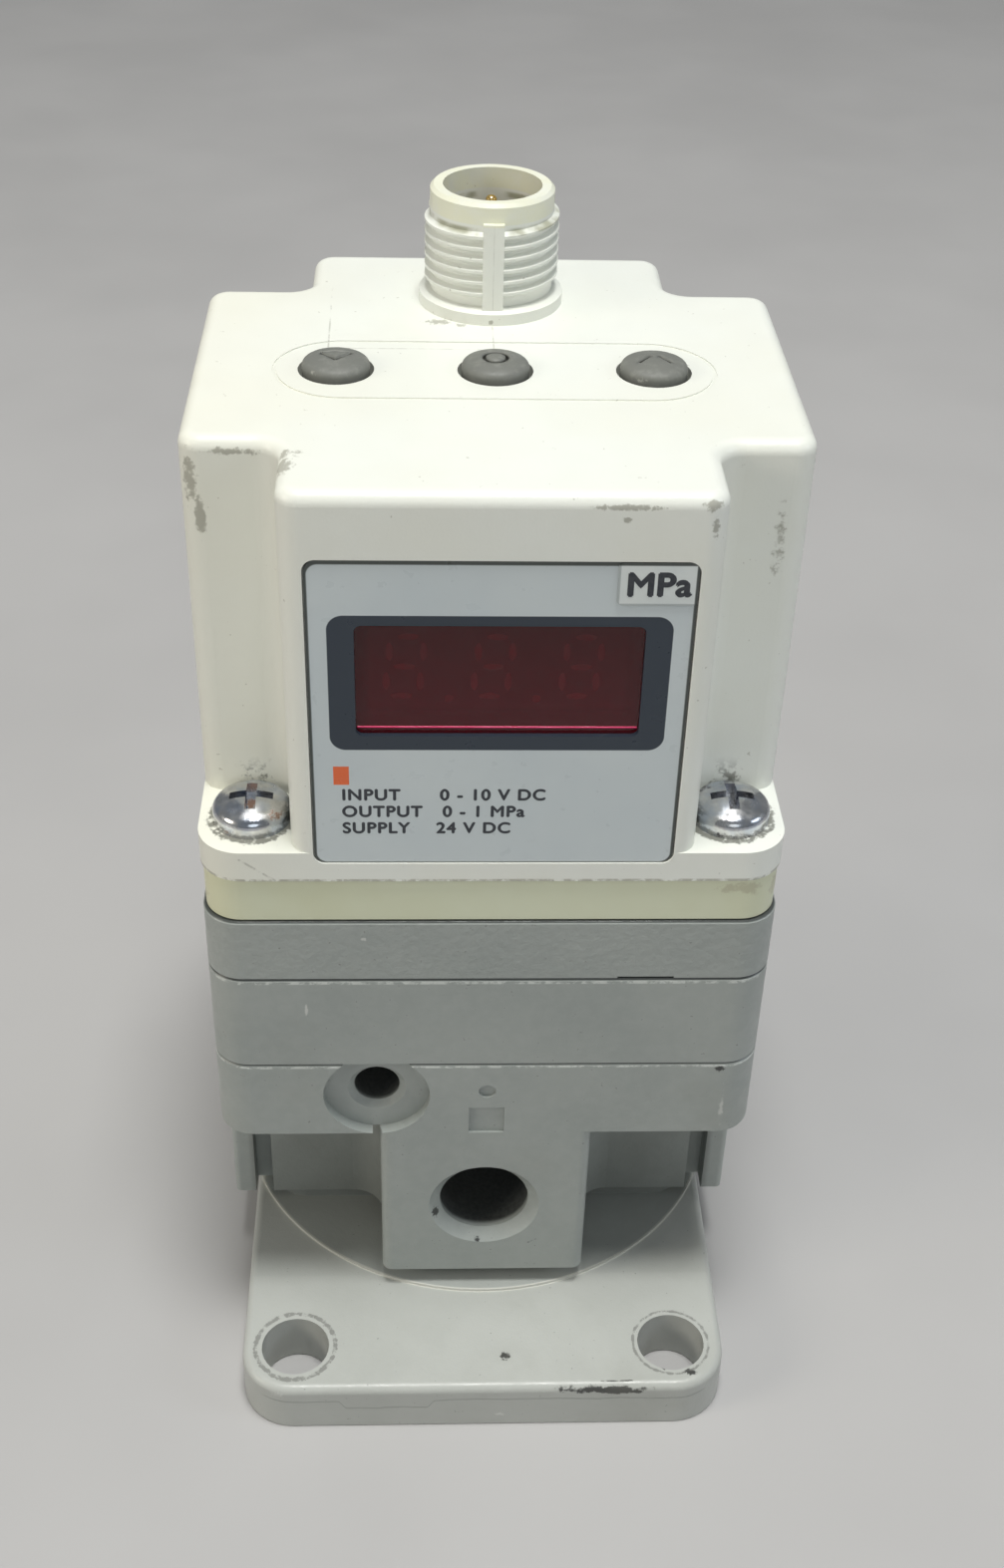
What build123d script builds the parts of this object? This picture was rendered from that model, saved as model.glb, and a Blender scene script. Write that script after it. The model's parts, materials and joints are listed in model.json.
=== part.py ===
from build123d import *
import math
import os

# An electro-pneumatic regulator on a flat mounting bracket.
# Millimetres, +Z up. The origin is the centre of the bracket's underside, the display faces -Y,
# the supply port is on the left (-X), the outlet port on the right (+X), the exhaust at the back.

os.makedirs("parts", exist_ok=True)

# Clearances
screw_fit = 0.05
seat_fit = 0.1
running_fit = 0.06
loose_fit = 0.3
tap_room = 0.8
screw_tip = 0.5
head_edge = 0.3

# Mounting bracket
bracket_side_inset = 1.6
bracket_length = 73.0
bracket_thickness = 5.45
bracket_corner = 5.0
bracket_edge = 0.8
pad_radius = 25.0
pad_rise = 0.3
foot_hole_radius = 3.25
foot_hole_inset = 5.1
bracket_screw_inset = 5.9
bracket_screw_y = 9.6
bracket_screw_radius = 2.0
bracket_screw_length = 12.0
countersink_radius = 3.9
hex_key_width = 2.5

# Stack of plates
body_width = 50.0
body_depth = 48.0
body_corner = 3.3
body_height = 30.25
shelf_height = 8.8
bonnet_height = 10.4
pilot_height = 6.6
base_height = 4.6
cover_height = 36.4
plate_edge = 0.2
seam_notch_width = 5.0
seam_notch_height = 0.35
seam_notch_x = 13.7
seam_notch_depth = 1.2

# Lower half of the valve body, a cross of four port blocks
skid_height = 1.5
arm_width = 27.0
arm_proud = 0.3
arm_edge = 0.6
flange_lip = 2.1
groove_width = 1.8
groove_depth = 2.5
block_width = 19.9
block_edge = 1.0
root_fillet = 3.2
port_rise = 11.35
port_radius = 5.9
port_depth = 12.3
port_chamfer = 0.8
gauge_radius = 4.3
gauge_depth = 9.5
gauge_chamfer = 1.05
passage_width = 4.0
passage_margin = 0.9
passage_reach_in = 1.0
passage_reach_out = 4.0
passage_bite = 1.5
outlet_rise = 4.0
gauge_rise = 2.4
drill_radius = 0.8
drill_wall = 0.8
sense_x = 6.0
vent_x = 10.2
vent_drop = 3.9
vent_radius = 2.1
vent_depth = 6.9
vent_point = 1.25
vent_spot_radius = 4.92
vent_spot_depth = 1.1
vent_chamfer = 0.6
mark_square = 3.3
mark_depth = 0.3
dot_radius = 0.8
dot_drop = 3.4

# Valve train
guide_radius = 10.0
plug_radius = 7.0
plug_thickness = 1.2
exhaust_radius = 6.0
hub_thickness = 1.8
spring_pocket_depth = 1.0
spring_pocket_radius = 5.7
guide_ring_section = 0.9
guide_ring_land = 0.6
guide_slot_margin = 0.8
tail_ring_section = 0.45
chamber_radius = 9.0
supply_height = 6.0
seat_radius = 4.4
seat_thickness = 2.0
seat_lip_width = 0.8
seat_lip_height = 0.5
tail_radius = 3.0
tail_reach = 1.6
tail_room = 0.85
valve_bore = 1.5
valve_stem_radius = 2.5
valve_stem_length = 10.0
valve_flange_radius = 6.2
valve_flange_thickness = 1.0
valve_disc_thickness = 1.3
valve_disc_inset = 0.2
valve_travel = 1.2
spring_radius = 4.7
spring_wire = 0.35
spring_turns = 3.0

# Diaphragm stack
diaphragm_margin = 3.6
diaphragm_thickness = 0.8
clamp_width = 2.9
stack_room = 1.6
fold_radius = 1.5
fold_room = 0.4
fold_land = 0.7
stack_plate_thickness = 1.4
stack_stem_radius = 2.5
stack_shoulder_radius = 4.5
stack_shoulder_thickness = 1.0
stack_neck_radius = 2.0
stack_pad_radius = 3.4
stack_pad_thickness = 1.5
stem_tip = 0.4
nut_flats = 8.0
nut_height = 2.4

# Screws that hold the stack together
body_screw_radius = 1.5
body_screw_head = 2.75
body_screw_head_height = 3.0
body_screw_bite = 6.5
body_screw_y_inset = 5.5
screw_wall = 1.85
cover_screw_x_inset = 4.5
cover_screw_y_inset = 5.2
cover_screw_radius = 1.75
cover_screw_bite = 3.6
cover_screw_head = 3.35
cover_screw_head_height = 2.4
cover_screw_shoulder = 1.44
cover_screw_edge = 0.95
cross_length = 3.7
cross_width = 0.9
cross_depth = 1.55

# Gaskets
gasket_thickness = 0.8
gasket_margin = 1.3
gasket_corner = 2.2
seal_width = 1.0
seal_inset = 0.5

# Cover
cover_wall = 2.0
roof_thickness = 2.0
ledge_height = 3.0
ledge_corner = 3.8
base_inset = 0.25
base_floor = 1.6
lip_height = 1.2
lip_width = 1.0
label_side_room = 0.15
wing_front_room = 0.45
back_side_room = 1.15
wing_back_room = 0.15
notch_fillet = 2.2
cover_corner = 1.8
cover_edge = 1.1
least_corner = 0.4

# Label recess, window and display
label_margin = 1.9
label_height = 29.0
label_bottom = 1.9
label_corner = 1.0
label_recess = 0.6
label_thickness = 0.45
tag_width = 6.2
tag_height = 3.75
tag_thickness = 0.12
window_side = 3.8
window_height = 10.3
window_rise = 12.9
window_corner = 0.6
window_rim = 1.0
window_flange = 0.8
display_depth = 5.4

# Buttons
button_pitch = 13.15
button_y = -1.9
button_hole_radius = 3.15
button_radius = 2.82
button_rise = 1.2
button_shoulder = 0.72
button_edge = 0.6
button_flange_radius = 3.9
button_flange_thickness = 1.1
button_stem_radius = 1.5
button_stem_length = 1.3
button_travel = 0.6
key_field_length = 36.8
key_field_width = 11.6
key_field_groove = 0.35
key_field_depth = 0.12

# Connector
connector_back = 10.4
connector_height = 10.3
connector_bore = 4.3
collar_radius = 6.35
collar_height = 1.0
collar_cone = 0.4
thread_core_radius = 5.4
thread_crest_radius = 5.9
rim_height = 1.6
rim_edge = 0.3
strip_width = 1.8
pin_radius = 0.5
pin_edge = 0.4
pin_circle_radius = 2.6
pin_drop = 1.9
pin_length = 17.6
insert_face_drop = 9.0
insert_flange_radius = 5.7
insert_flange_thickness = 1.2

# Electronics
board_thickness = 1.6
board_side_room = 2.0
board_back_room = 3.5
switch_size = 6.0
switch_corner = 0.5
switch_room = 0.2
switch_height = 3.2
plunger_radius = 1.7
plunger_grip = 0.9
display_board_room = 0.5
display_board_height = 18.0
header_width = 16.0
header_length = 5.2
header_rise = 2.0
header_height = 2.5
boss_radius = 2.4
boss_inset = 4.6
boss_y = 4.0
board_screw_radius = 1.0
board_screw_head = 1.9
board_screw_head_height = 1.4
board_screw_bite = 4.5

# Pilot valves and sensor
solenoid_width = 10.5
solenoid_length = 21.0
solenoid_foot = 4.4
solenoid_foot_gap = 0.2
solenoid_height = 23.0
solenoid_edge = 1.0
solenoid_x = 7.0
solenoid_room = 1.4
signal_offset = 2.0
feed_offset = 6.0
solenoid_screw_radius = 0.9
solenoid_screw_head = 1.6
solenoid_screw_head_height = 1.2
solenoid_screw_bite = 3.6
sensor_radius = 4.2
sensor_height = 8.5
sensor_cap_radius = 3.0
sensor_cap_height = 1.5
sensor_room = 1.5
sensor_ring_radius = 2.6
sensor_ring_section = 0.6

# Heights of the seams, from the bracket's underside up
body_floor = bracket_thickness + pad_rise
block_floor = body_floor + skid_height
body_top = body_floor + body_height
shelf_floor = body_top - shelf_height
bonnet_top = body_top + bonnet_height
pilot_top = bonnet_top + pilot_height
base_top = pilot_top + base_height
cover_top = base_top + cover_height
roof_floor = cover_top - roof_thickness
rim_top = cover_top + connector_height
port_z = body_floor + port_rise
vent_z = body_top - vent_drop

# Heights inside the valve body
plug_top = body_floor + plug_thickness
hub_floor = plug_top + tail_room + valve_travel + tail_reach
hub_top = hub_floor + hub_thickness
guide_top = hub_top + spring_pocket_depth
seat_floor = guide_top + supply_height
seat_top = seat_floor + seat_thickness
disc_top = seat_floor - seat_lip_height
flange_top = disc_top - valve_disc_thickness
flange_floor = flange_top - valve_flange_thickness
valve_top = flange_top + valve_stem_length
diaphragm_floor = body_top - diaphragm_thickness
sensing_floor = diaphragm_floor - stack_plate_thickness - valve_travel - stack_room
stack_floor = diaphragm_floor - stack_plate_thickness
shoulder_floor = stack_floor - stack_shoulder_thickness
stack_top = body_top + stack_plate_thickness
nut_top = stack_top + nut_height
stem_top = nut_top + stem_tip
pilot_roof = stem_top + stack_room

# Widths and reaches that follow the body
bracket_width = body_width - 2 * bracket_side_inset
arm_reach = body_width / 2 + arm_proud
side_port_end = arm_reach - port_depth
back_port_end = body_depth / 2 - port_depth
gauge_port_end = body_depth / 2 - gauge_depth
diaphragm_radius = min(body_width, body_depth) / 2 - diaphragm_margin
chamber_wide_radius = diaphragm_radius - clamp_width
fold_centre = chamber_wide_radius - fold_room - fold_radius - diaphragm_thickness / 2
stack_plate_radius = fold_centre - fold_radius - diaphragm_thickness / 2 - fold_land

# Places of the screws
bracket_screw_x = bracket_width / 2 - bracket_screw_inset
foot_hole_x = bracket_width / 2 - foot_hole_inset
foot_hole_y = bracket_length / 2 - foot_hole_inset
body_screw_reach = diaphragm_radius + screw_wall + body_screw_radius
body_screw_y = body_depth / 2 - body_screw_y_inset
body_screw_x = math.sqrt(body_screw_reach**2 - body_screw_y**2)
cover_screw_x = body_width / 2 - cover_screw_x_inset
cover_screw_y = body_depth / 2 - cover_screw_y_inset

# Sides of the cover's notches, clear of the screw heads in them
label_side = cover_screw_x - cover_screw_head - label_side_room
back_side = cover_screw_x - cover_screw_head - back_side_room
wing_front_y = cover_screw_head + wing_front_room - cover_screw_y
wing_back_y = cover_screw_y - cover_screw_head - wing_back_room

# Label, window and display, from the front of the cover inwards
front_y = -body_depth / 2
label_floor_y = front_y + label_recess
label_face_y = label_floor_y - label_thickness
label_width = 2 * (label_side - label_margin)
label_z = base_top + label_bottom + label_height / 2
window_width = label_width - 2 * window_side
window_z = base_top + label_bottom + window_rise + window_height / 2
wall_y = front_y + cover_wall
display_back_y = wall_y + window_flange + display_depth
header_front = display_back_y + board_thickness
header_back = header_front + header_length
control_board_y = header_back + board_thickness / 2
solenoid_y = control_board_y + board_thickness / 2 + solenoid_room + solenoid_length / 2
sensor_x = sense_x
sensor_y = wall_y + sensor_room + sensor_radius
connector_y = body_depth / 2 - connector_back

# Places of the drilled air passages, just outside the diaphragm
gallery_radius = diaphragm_radius + drill_wall + drill_radius
sense_y = -math.sqrt(gallery_radius**2 - sense_x**2)
vent_y = -math.sqrt(gallery_radius**2 - vent_x**2)
feed_x = -gallery_radius
feed_y = solenoid_y + feed_offset
signal_y = solenoid_y + signal_offset
foot_screw_pitch = solenoid_length - 2 * (solenoid_screw_head + loose_fit)

# Boards inside the cover's walls
wide_board_width = body_width - 2 * (cover_wall + board_side_room)
display_board_width = 2 * (label_side - cover_wall - display_board_room)
board_tab_width = 2 * (back_side - cover_wall - board_side_room)
button_board_front = wing_front_y + cover_wall + board_side_room
button_board_back = body_depth / 2 - cover_wall - board_back_room
boss_x = body_width / 2 - cover_wall - boss_inset

# Heights in the cover
button_stem_floor = roof_floor - button_flange_thickness - button_stem_length
switch_top = button_stem_floor - button_travel - switch_room
switch_floor = switch_top - switch_height
button_board_floor = switch_floor - board_thickness
plunger_floor = switch_top - plunger_grip
insert_face = rim_top - insert_face_drop
pin_top = rim_top - pin_drop
board_floor = pilot_top + base_floor
button_places = {"down": -button_pitch, "set": 0.0, "up": button_pitch}
solenoid_places = {"supply": solenoid_x, "exhaust": -solenoid_x}


def axle_plane(x, y):
    """An upright plane through the vertical line at x, y, for profiles that are revolved."""
    return Plane(origin=(x, y, 0), x_dir=(1, 0, 0), z_dir=(0, -1, 0))


def cross_plan(inset):
    """The cover's plan, a rounded cross, with every wall moved inwards by inset."""
    side = body_width / 2 - inset
    front = front_y + inset
    back = body_depth / 2 - inset
    wing_front = wing_front_y + inset
    wing_back = wing_back_y - inset
    label_half = label_side - inset
    bulge_half = back_side - inset
    outer = max(cover_corner - inset, least_corner)
    inner = notch_fillet + inset
    corners = [
        (-label_half, front, outer),
        (label_half, front, outer),
        (label_half, wing_front, inner),
        (side, wing_front, outer),
        (side, wing_back, outer),
        (bulge_half, wing_back, inner),
        (bulge_half, back, outer),
        (-bulge_half, back, outer),
        (-bulge_half, wing_back, inner),
        (-side, wing_back, outer),
        (-side, wing_front, outer),
        (-label_half, wing_front, inner),
    ]
    points = [(x, y) for x, y, radius in corners]
    radii = [radius for x, y, radius in corners]
    with BuildSketch() as plan:
        with BuildLine():
            FilletPolyline(*points, radius=radii, close=True)
        make_face()
    return plan.sketch


def dome(radius, shoulder, top):
    """An arc from the edge of a domed head to its crown, with its centre on the axis."""
    rise = top - shoulder
    sphere = (radius**2 + rise**2) / (2 * rise)
    half_angle = math.asin(radius / sphere) / 2
    middle = (sphere * math.sin(half_angle), top - sphere * (1 - math.cos(half_angle)))
    return ThreePointArc((radius, shoulder), middle, (0, top))


def ring(x, y, z, radius, section):
    """A round sealing ring lying flat, with its lowest point at z."""
    with BuildPart() as seal:
        with BuildSketch(axle_plane(x, y)):
            with Locations((radius, z + section)):
                Circle(section)
        revolve(axis=Axis((x, y, 0), (0, 0, 1)))
    return seal.part


# Mounting bracket, a cast plate with a low round pad under the valve body
with BuildPart() as mounting_bracket:
    with BuildSketch():
        RectangleRounded(bracket_width, bracket_length, bracket_corner)
    extrude(amount=bracket_thickness)
    fillet(mounting_bracket.faces().sort_by(Axis.Z)[-1].edges(), bracket_edge)
    with BuildSketch(Plane.XY.offset(bracket_thickness)):
        Circle(pad_radius)
        Rectangle(bracket_width - 2 * bracket_edge, bracket_length, mode=Mode.INTERSECT)
    extrude(amount=pad_rise)
    with Locations((0, 0, bracket_thickness)):
        with GridLocations(2 * foot_hole_x, 2 * foot_hole_y, 2, 2):
            Hole(foot_hole_radius)
    with Locations(Location((0, 0, 0), (180, 0, 0))):
        with GridLocations(2 * bracket_screw_x, 2 * bracket_screw_y, 2, 2):
            CounterSinkHole(
                bracket_screw_radius + seat_fit,
                countersink_radius + seat_fit,
                counter_sink_angle=90,
            )
mounting_bracket.part.label = "mounting_bracket"
export_step(mounting_bracket.part, "parts/mounting_bracket.step")

# Countersunk screws that come up through the bracket
with BuildPart() as bracket_screws:
    with GridLocations(2 * bracket_screw_x, 2 * bracket_screw_y, 2, 2) as places:
        screw_places = places.local_locations
    for place in screw_places:
        with BuildSketch(axle_plane(place.position.X, place.position.Y)):
            with BuildLine():
                Polyline(
                    (0, 0),
                    (countersink_radius, 0),
                    (bracket_screw_radius, countersink_radius - bracket_screw_radius),
                    (bracket_screw_radius, bracket_screw_length - screw_tip),
                    (bracket_screw_radius - screw_tip, bracket_screw_length),
                    (0, bracket_screw_length),
                    close=True,
                )
            make_face()
        revolve(axis=Axis((place.position.X, place.position.Y, 0), (0, 0, 1)))
        with BuildSketch(Plane(origin=(place.position.X, place.position.Y, 0))):
            RegularPolygon(hex_key_width / 2, 6, major_radius=False)
        extrude(amount=countersink_radius - bracket_screw_radius, mode=Mode.SUBTRACT)
bracket_screws.part.label = "bracket_screws"
export_step(bracket_screws.part, "parts/bracket_screws.step")

# Valve body, a die casting: a wide shelf over a cross of four port blocks
with BuildPart() as valve_body:
    with BuildSketch(Plane.XY.offset(block_floor)) as cross:
        Rectangle(2 * arm_reach, arm_width)
        Rectangle(block_width, body_depth)
        fillet(cross.vertices().group_by(Axis.Y)[0] + cross.vertices().group_by(Axis.Y)[-1], block_edge)
        fillet(cross.vertices().group_by(Axis.X)[0] + cross.vertices().group_by(Axis.X)[-1], arm_edge)
        half_block = block_width / 2 + seat_fit
        half_arm = arm_width / 2 + seat_fit
        roots = cross.vertices().filter_by_position(Axis.X, -half_block, half_block)
        fillet(roots.filter_by_position(Axis.Y, -half_arm, half_arm), root_fillet)
    extrude(amount=shelf_floor - block_floor)
    chamfer(valve_body.faces().sort_by(Axis.Z)[0].edges(), block_edge / 2)
    with BuildSketch(Plane.XY.offset(body_floor)):
        RectangleRounded(
            2 * (arm_reach - flange_lip - groove_width),
            arm_width - 2 * block_edge,
            root_fillet,
        )
    extrude(amount=skid_height + block_edge)
    groove_x = arm_reach - flange_lip - groove_width / 2
    with BuildSketch(Plane.XY.offset(block_floor)):
        with GridLocations(2 * groove_x, arm_width, 2, 2):
            Rectangle(groove_width, 2 * groove_depth)
    extrude(amount=shelf_floor - block_floor, mode=Mode.SUBTRACT)
    with BuildSketch(Plane.XY.offset(shelf_floor)):
        RectangleRounded(body_width, body_depth, body_corner)
    extrude(amount=shelf_height)
    chamfer(valve_body.faces().sort_by(Axis.Z)[-1].edges(), plate_edge)

    # Stepped bore for the valve train, from below and from above
    with BuildSketch(axle_plane(0, 0)):
        with BuildLine():
            Polyline(
                (0, body_floor),
                (guide_radius + seat_fit, body_floor),
                (guide_radius + seat_fit, guide_top),
                (chamber_radius, guide_top),
                (chamber_radius, seat_floor),
                (seat_radius + seat_lip_width, seat_floor),
                (seat_radius + seat_lip_width, disc_top),
                (seat_radius, disc_top),
                (seat_radius, seat_top),
                (chamber_radius, seat_top),
                (chamber_radius, sensing_floor),
                (chamber_wide_radius, sensing_floor),
                (chamber_wide_radius, diaphragm_floor),
                (diaphragm_radius + seat_fit, diaphragm_floor),
                (diaphragm_radius + seat_fit, body_top),
                (0, body_top),
                close=True,
            )
        make_face()
    revolve(axis=Axis.Z, mode=Mode.SUBTRACT)

    # Main ports, left, right and back, and the gauge port at the front
    with Locations(
        Plane(origin=(arm_reach, 0, port_z), z_dir=(1, 0, 0)),
        Plane(origin=(-arm_reach, 0, port_z), z_dir=(-1, 0, 0)),
        Plane(origin=(0, body_depth / 2, port_z), z_dir=(0, 1, 0)),
    ):
        CounterSinkHole(port_radius, port_radius + port_chamfer, port_depth, 90)
    with Locations(Plane(origin=(0, front_y, port_z), z_dir=(0, -1, 0))):
        CounterSinkHole(gauge_radius, gauge_radius + gauge_chamfer, gauge_depth, 90)

    # Passages from the ports to the chambers, each turned about the axis to face its port
    passages = [
        (180, chamber_radius, side_port_end, guide_top + passage_margin, seat_floor - passage_margin),
        (0, chamber_radius, side_port_end, port_z + port_radius - passage_bite, seat_top + outlet_rise),
        (-90, chamber_radius, gauge_port_end, port_z + gauge_radius - passage_bite, seat_top + gauge_rise),
        (90, guide_radius, back_port_end, plug_top + passage_margin, port_z - port_radius + passage_bite),
    ]
    for turn, inner, outer, floor, top in passages:
        length = outer + passage_reach_out - inner + passage_reach_in
        with BuildSketch(Plane.XY.offset(floor).rotated((0, 0, turn))):
            with Locations((inner - passage_reach_in + length / 2, 0)):
                Rectangle(length, passage_width)
        extrude(amount=top - floor, mode=Mode.SUBTRACT)

    # Pilot vent with its spotface, and the marks cast in the front
    with Locations(Plane(origin=(-vent_x, front_y, vent_z), z_dir=(0, -1, 0))):
        CounterBoreHole(vent_radius, vent_spot_radius, vent_spot_depth, vent_depth)
    with Locations(Plane(origin=(-vent_x, front_y + vent_spot_depth, vent_z), z_dir=(0, -1, 0))):
        CounterSinkHole(vent_radius, vent_radius + vent_chamfer, vent_depth - vent_spot_depth, 90)
    with Locations(Plane(origin=(-vent_x, front_y + vent_depth, vent_z), z_dir=(0, 1, 0))):
        Cone(vent_radius, 0, vent_point, align=(Align.CENTER, Align.CENTER, Align.MIN), mode=Mode.SUBTRACT)
    with BuildSketch(Plane.XZ.offset(-front_y)):
        with Locations((0, shelf_floor + mark_square / 2)):
            Rectangle(mark_square, mark_square)
        with Locations((0, body_top - dot_drop)):
            Circle(dot_radius)
    extrude(amount=-mark_depth, mode=Mode.SUBTRACT)

    # Small drillings up to the bonnet: outlet pressure, pilot vent and supply feed
    with Locations((sense_x, sense_y, body_top)):
        Hole(drill_radius, depth=body_top - port_z)
    with BuildSketch(Plane.YZ):
        with Locations((sense_y, port_z)):
            Circle(drill_radius)
    extrude(amount=sense_x + drill_radius, mode=Mode.SUBTRACT)
    with Locations((-vent_x, vent_y, body_top)):
        Hole(drill_radius, depth=vent_drop)
    with Locations((feed_x, 0, body_top)):
        Hole(drill_radius, depth=body_top - port_z)

    # Threaded holes for the bracket screws and the long body screws
    with Locations(Location((0, 0, body_floor), (180, 0, 0))):
        with GridLocations(2 * bracket_screw_x, 2 * bracket_screw_y, 2, 2):
            Hole(bracket_screw_radius + screw_fit, depth=bracket_screw_length - body_floor + tap_room)
    with Locations((0, 0, body_top)):
        with GridLocations(2 * body_screw_x, 2 * body_screw_y, 2, 2):
            Hole(body_screw_radius + screw_fit, depth=body_screw_bite + tap_room)
valve_body.part.label = "valve_body"
export_step(valve_body.part, "parts/valve_body.step")

# Plug that closes the exhaust chamber from below
with BuildPart() as guide_plug:
    with BuildSketch(Plane.XY.offset(body_floor)):
        Circle(plug_radius)
    extrude(amount=plug_thickness)
    chamfer(guide_plug.faces().sort_by(Axis.Z)[0].edges(), plate_edge)
guide_plug.part.label = "guide_plug"
export_step(guide_plug.part, "parts/guide_plug.step")

# Valve guide, a turned cup that carries the valve's tail
ring_groove = 2 * guide_ring_section
tail_groove = 2 * tail_ring_section
hub_middle = (hub_floor + hub_top) / 2
guide_ring_z = hub_floor + guide_ring_land
with BuildPart() as valve_guide:
    with BuildSketch(axle_plane(0, 0)):
        with BuildLine():
            Polyline(
                (plug_radius + seat_fit, body_floor),
                (guide_radius, body_floor),
                (guide_radius, guide_ring_z),
                (guide_radius + seat_fit - ring_groove, guide_ring_z),
                (guide_radius + seat_fit - ring_groove, guide_ring_z + ring_groove),
                (guide_radius, guide_ring_z + ring_groove),
                (guide_radius, guide_top),
                (spring_pocket_radius, guide_top),
                (spring_pocket_radius, hub_top),
                (tail_radius + running_fit, hub_top),
                (tail_radius + running_fit, hub_middle + tail_ring_section),
                (tail_radius + running_fit + tail_groove, hub_middle + tail_ring_section),
                (tail_radius + running_fit + tail_groove, hub_middle - tail_ring_section),
                (tail_radius + running_fit, hub_middle - tail_ring_section),
                (tail_radius + running_fit, hub_floor),
                (exhaust_radius, hub_floor),
                (exhaust_radius, plug_top),
                (plug_radius + seat_fit, plug_top),
                close=True,
            )
        make_face()
    revolve(axis=Axis.Z)
    with BuildSketch(Plane.XY.offset(plug_top + guide_slot_margin)):
        with Locations((0, (exhaust_radius + guide_radius) / 2)):
            Rectangle(passage_width, guide_radius - exhaust_radius + 2 * passage_reach_in)
    extrude(amount=hub_floor - plug_top - 2 * guide_slot_margin, mode=Mode.SUBTRACT)
valve_guide.part.label = "valve_guide"
export_step(valve_guide.part, "parts/valve_guide.step")

# Rings that seal the guide in the body and the valve's tail in the guide
guide_ring_radius = guide_radius + seat_fit - guide_ring_section
valve_guide_seal = ring(0, 0, guide_ring_z, guide_ring_radius, guide_ring_section)
valve_guide_seal.label = "valve_guide_seal"
export_step(valve_guide_seal, "parts/valve_guide_seal.step")
tail_ring_radius = tail_radius + running_fit + tail_ring_section
valve_tail_seal = ring(0, 0, hub_middle - tail_ring_section, tail_ring_radius, tail_ring_section)
valve_tail_seal.label = "valve_tail_seal"
export_step(valve_tail_seal, "parts/valve_tail_seal.step")

# Main valve, hollow so that the outlet can exhaust down through it
with BuildPart() as main_valve:
    with BuildSketch(axle_plane(0, 0)):
        with BuildLine():
            Polyline(
                (valve_bore, hub_floor - tail_reach),
                (tail_radius, hub_floor - tail_reach),
                (tail_radius, flange_floor),
                (valve_flange_radius, flange_floor),
                (valve_flange_radius, flange_top),
                (valve_stem_radius, flange_top),
                (valve_stem_radius, valve_top),
                (valve_bore, valve_top),
                close=True,
            )
        make_face()
    revolve(axis=Axis.Z)
main_valve.part.label = "main_valve"
export_step(main_valve.part, "parts/main_valve.step")

# Rubber facing of the main valve
with BuildPart() as valve_disc:
    with BuildSketch(Plane.XY.offset(flange_top)):
        Circle(valve_flange_radius - valve_disc_inset)
        Circle(valve_stem_radius, mode=Mode.SUBTRACT)
    extrude(amount=valve_disc_thickness)
valve_disc.part.label = "valve_disc"
export_step(valve_disc.part, "parts/valve_disc.step")

# Spring under the main valve
spring_height = flange_floor - hub_top
spring_pitch = (spring_height - 2 * spring_wire) / spring_turns
with BuildPart() as valve_spring:
    with BuildLine() as coil:
        Helix(
            spring_pitch,
            spring_height - 2 * spring_wire,
            spring_radius,
            center=(0, 0, hub_top + spring_wire),
        )
    with BuildSketch(Plane(origin=coil.line @ 0, z_dir=coil.line % 0)):
        Circle(spring_wire)
    sweep()
valve_spring.part.label = "valve_spring"
export_step(valve_spring.part, "parts/valve_spring.step")

# Diaphragm, a clamped rubber disc with one round fold
with BuildPart() as main_diaphragm:
    middle = diaphragm_floor + diaphragm_thickness / 2
    outer_fold = fold_radius + diaphragm_thickness / 2
    inner_fold = fold_radius - diaphragm_thickness / 2
    hole = stack_stem_radius + screw_fit
    with BuildSketch(axle_plane(0, 0)):
        with Locations(((hole + diaphragm_radius) / 2, middle)):
            Rectangle(diaphragm_radius - hole, diaphragm_thickness)
        with Locations((fold_centre, middle)):
            Circle(outer_fold)
            Circle(inner_fold, mode=Mode.SUBTRACT)
        with Locations((fold_centre, diaphragm_floor - outer_fold / 2)):
            Rectangle(2 * (outer_fold + screw_fit), outer_fold, mode=Mode.SUBTRACT)
    revolve(axis=Axis.Z)
main_diaphragm.part.label = "main_diaphragm"
export_step(main_diaphragm.part, "parts/main_diaphragm.step")

# Plates that clamp the middle of the diaphragm
for name, floor in {"lower": stack_floor, "upper": body_top}.items():
    with BuildPart() as stack_plate:
        with BuildSketch(Plane.XY.offset(floor)):
            Circle(stack_plate_radius)
            Circle(stack_stem_radius + screw_fit, mode=Mode.SUBTRACT)
        extrude(amount=stack_plate_thickness)
        rims = stack_plate.edges().filter_by(GeomType.CIRCLE).sort_by(SortBy.RADIUS)[-2:]
        fillet(rims, stack_plate_thickness / 3)
    stack_plate.part.label = f"diaphragm_plate_{name}"
    export_step(stack_plate.part, f"parts/diaphragm_plate_{name}.step")

# Stem through the diaphragm, whose pad closes the hollow valve
with BuildPart() as diaphragm_stem:
    with BuildSketch(axle_plane(0, 0)):
        with BuildLine():
            Polyline(
                (0, valve_top),
                (stack_pad_radius, valve_top),
                (stack_pad_radius, valve_top + stack_pad_thickness),
                (stack_neck_radius, valve_top + stack_pad_thickness),
                (stack_neck_radius, shoulder_floor),
                (stack_shoulder_radius, shoulder_floor),
                (stack_shoulder_radius, stack_floor),
                (stack_stem_radius, stack_floor),
                (stack_stem_radius, nut_top),
                (stack_stem_radius - stem_tip, stem_top),
                (0, stem_top),
                close=True,
            )
        make_face()
    revolve(axis=Axis.Z)
diaphragm_stem.part.label = "diaphragm_stem"
export_step(diaphragm_stem.part, "parts/diaphragm_stem.step")

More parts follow.
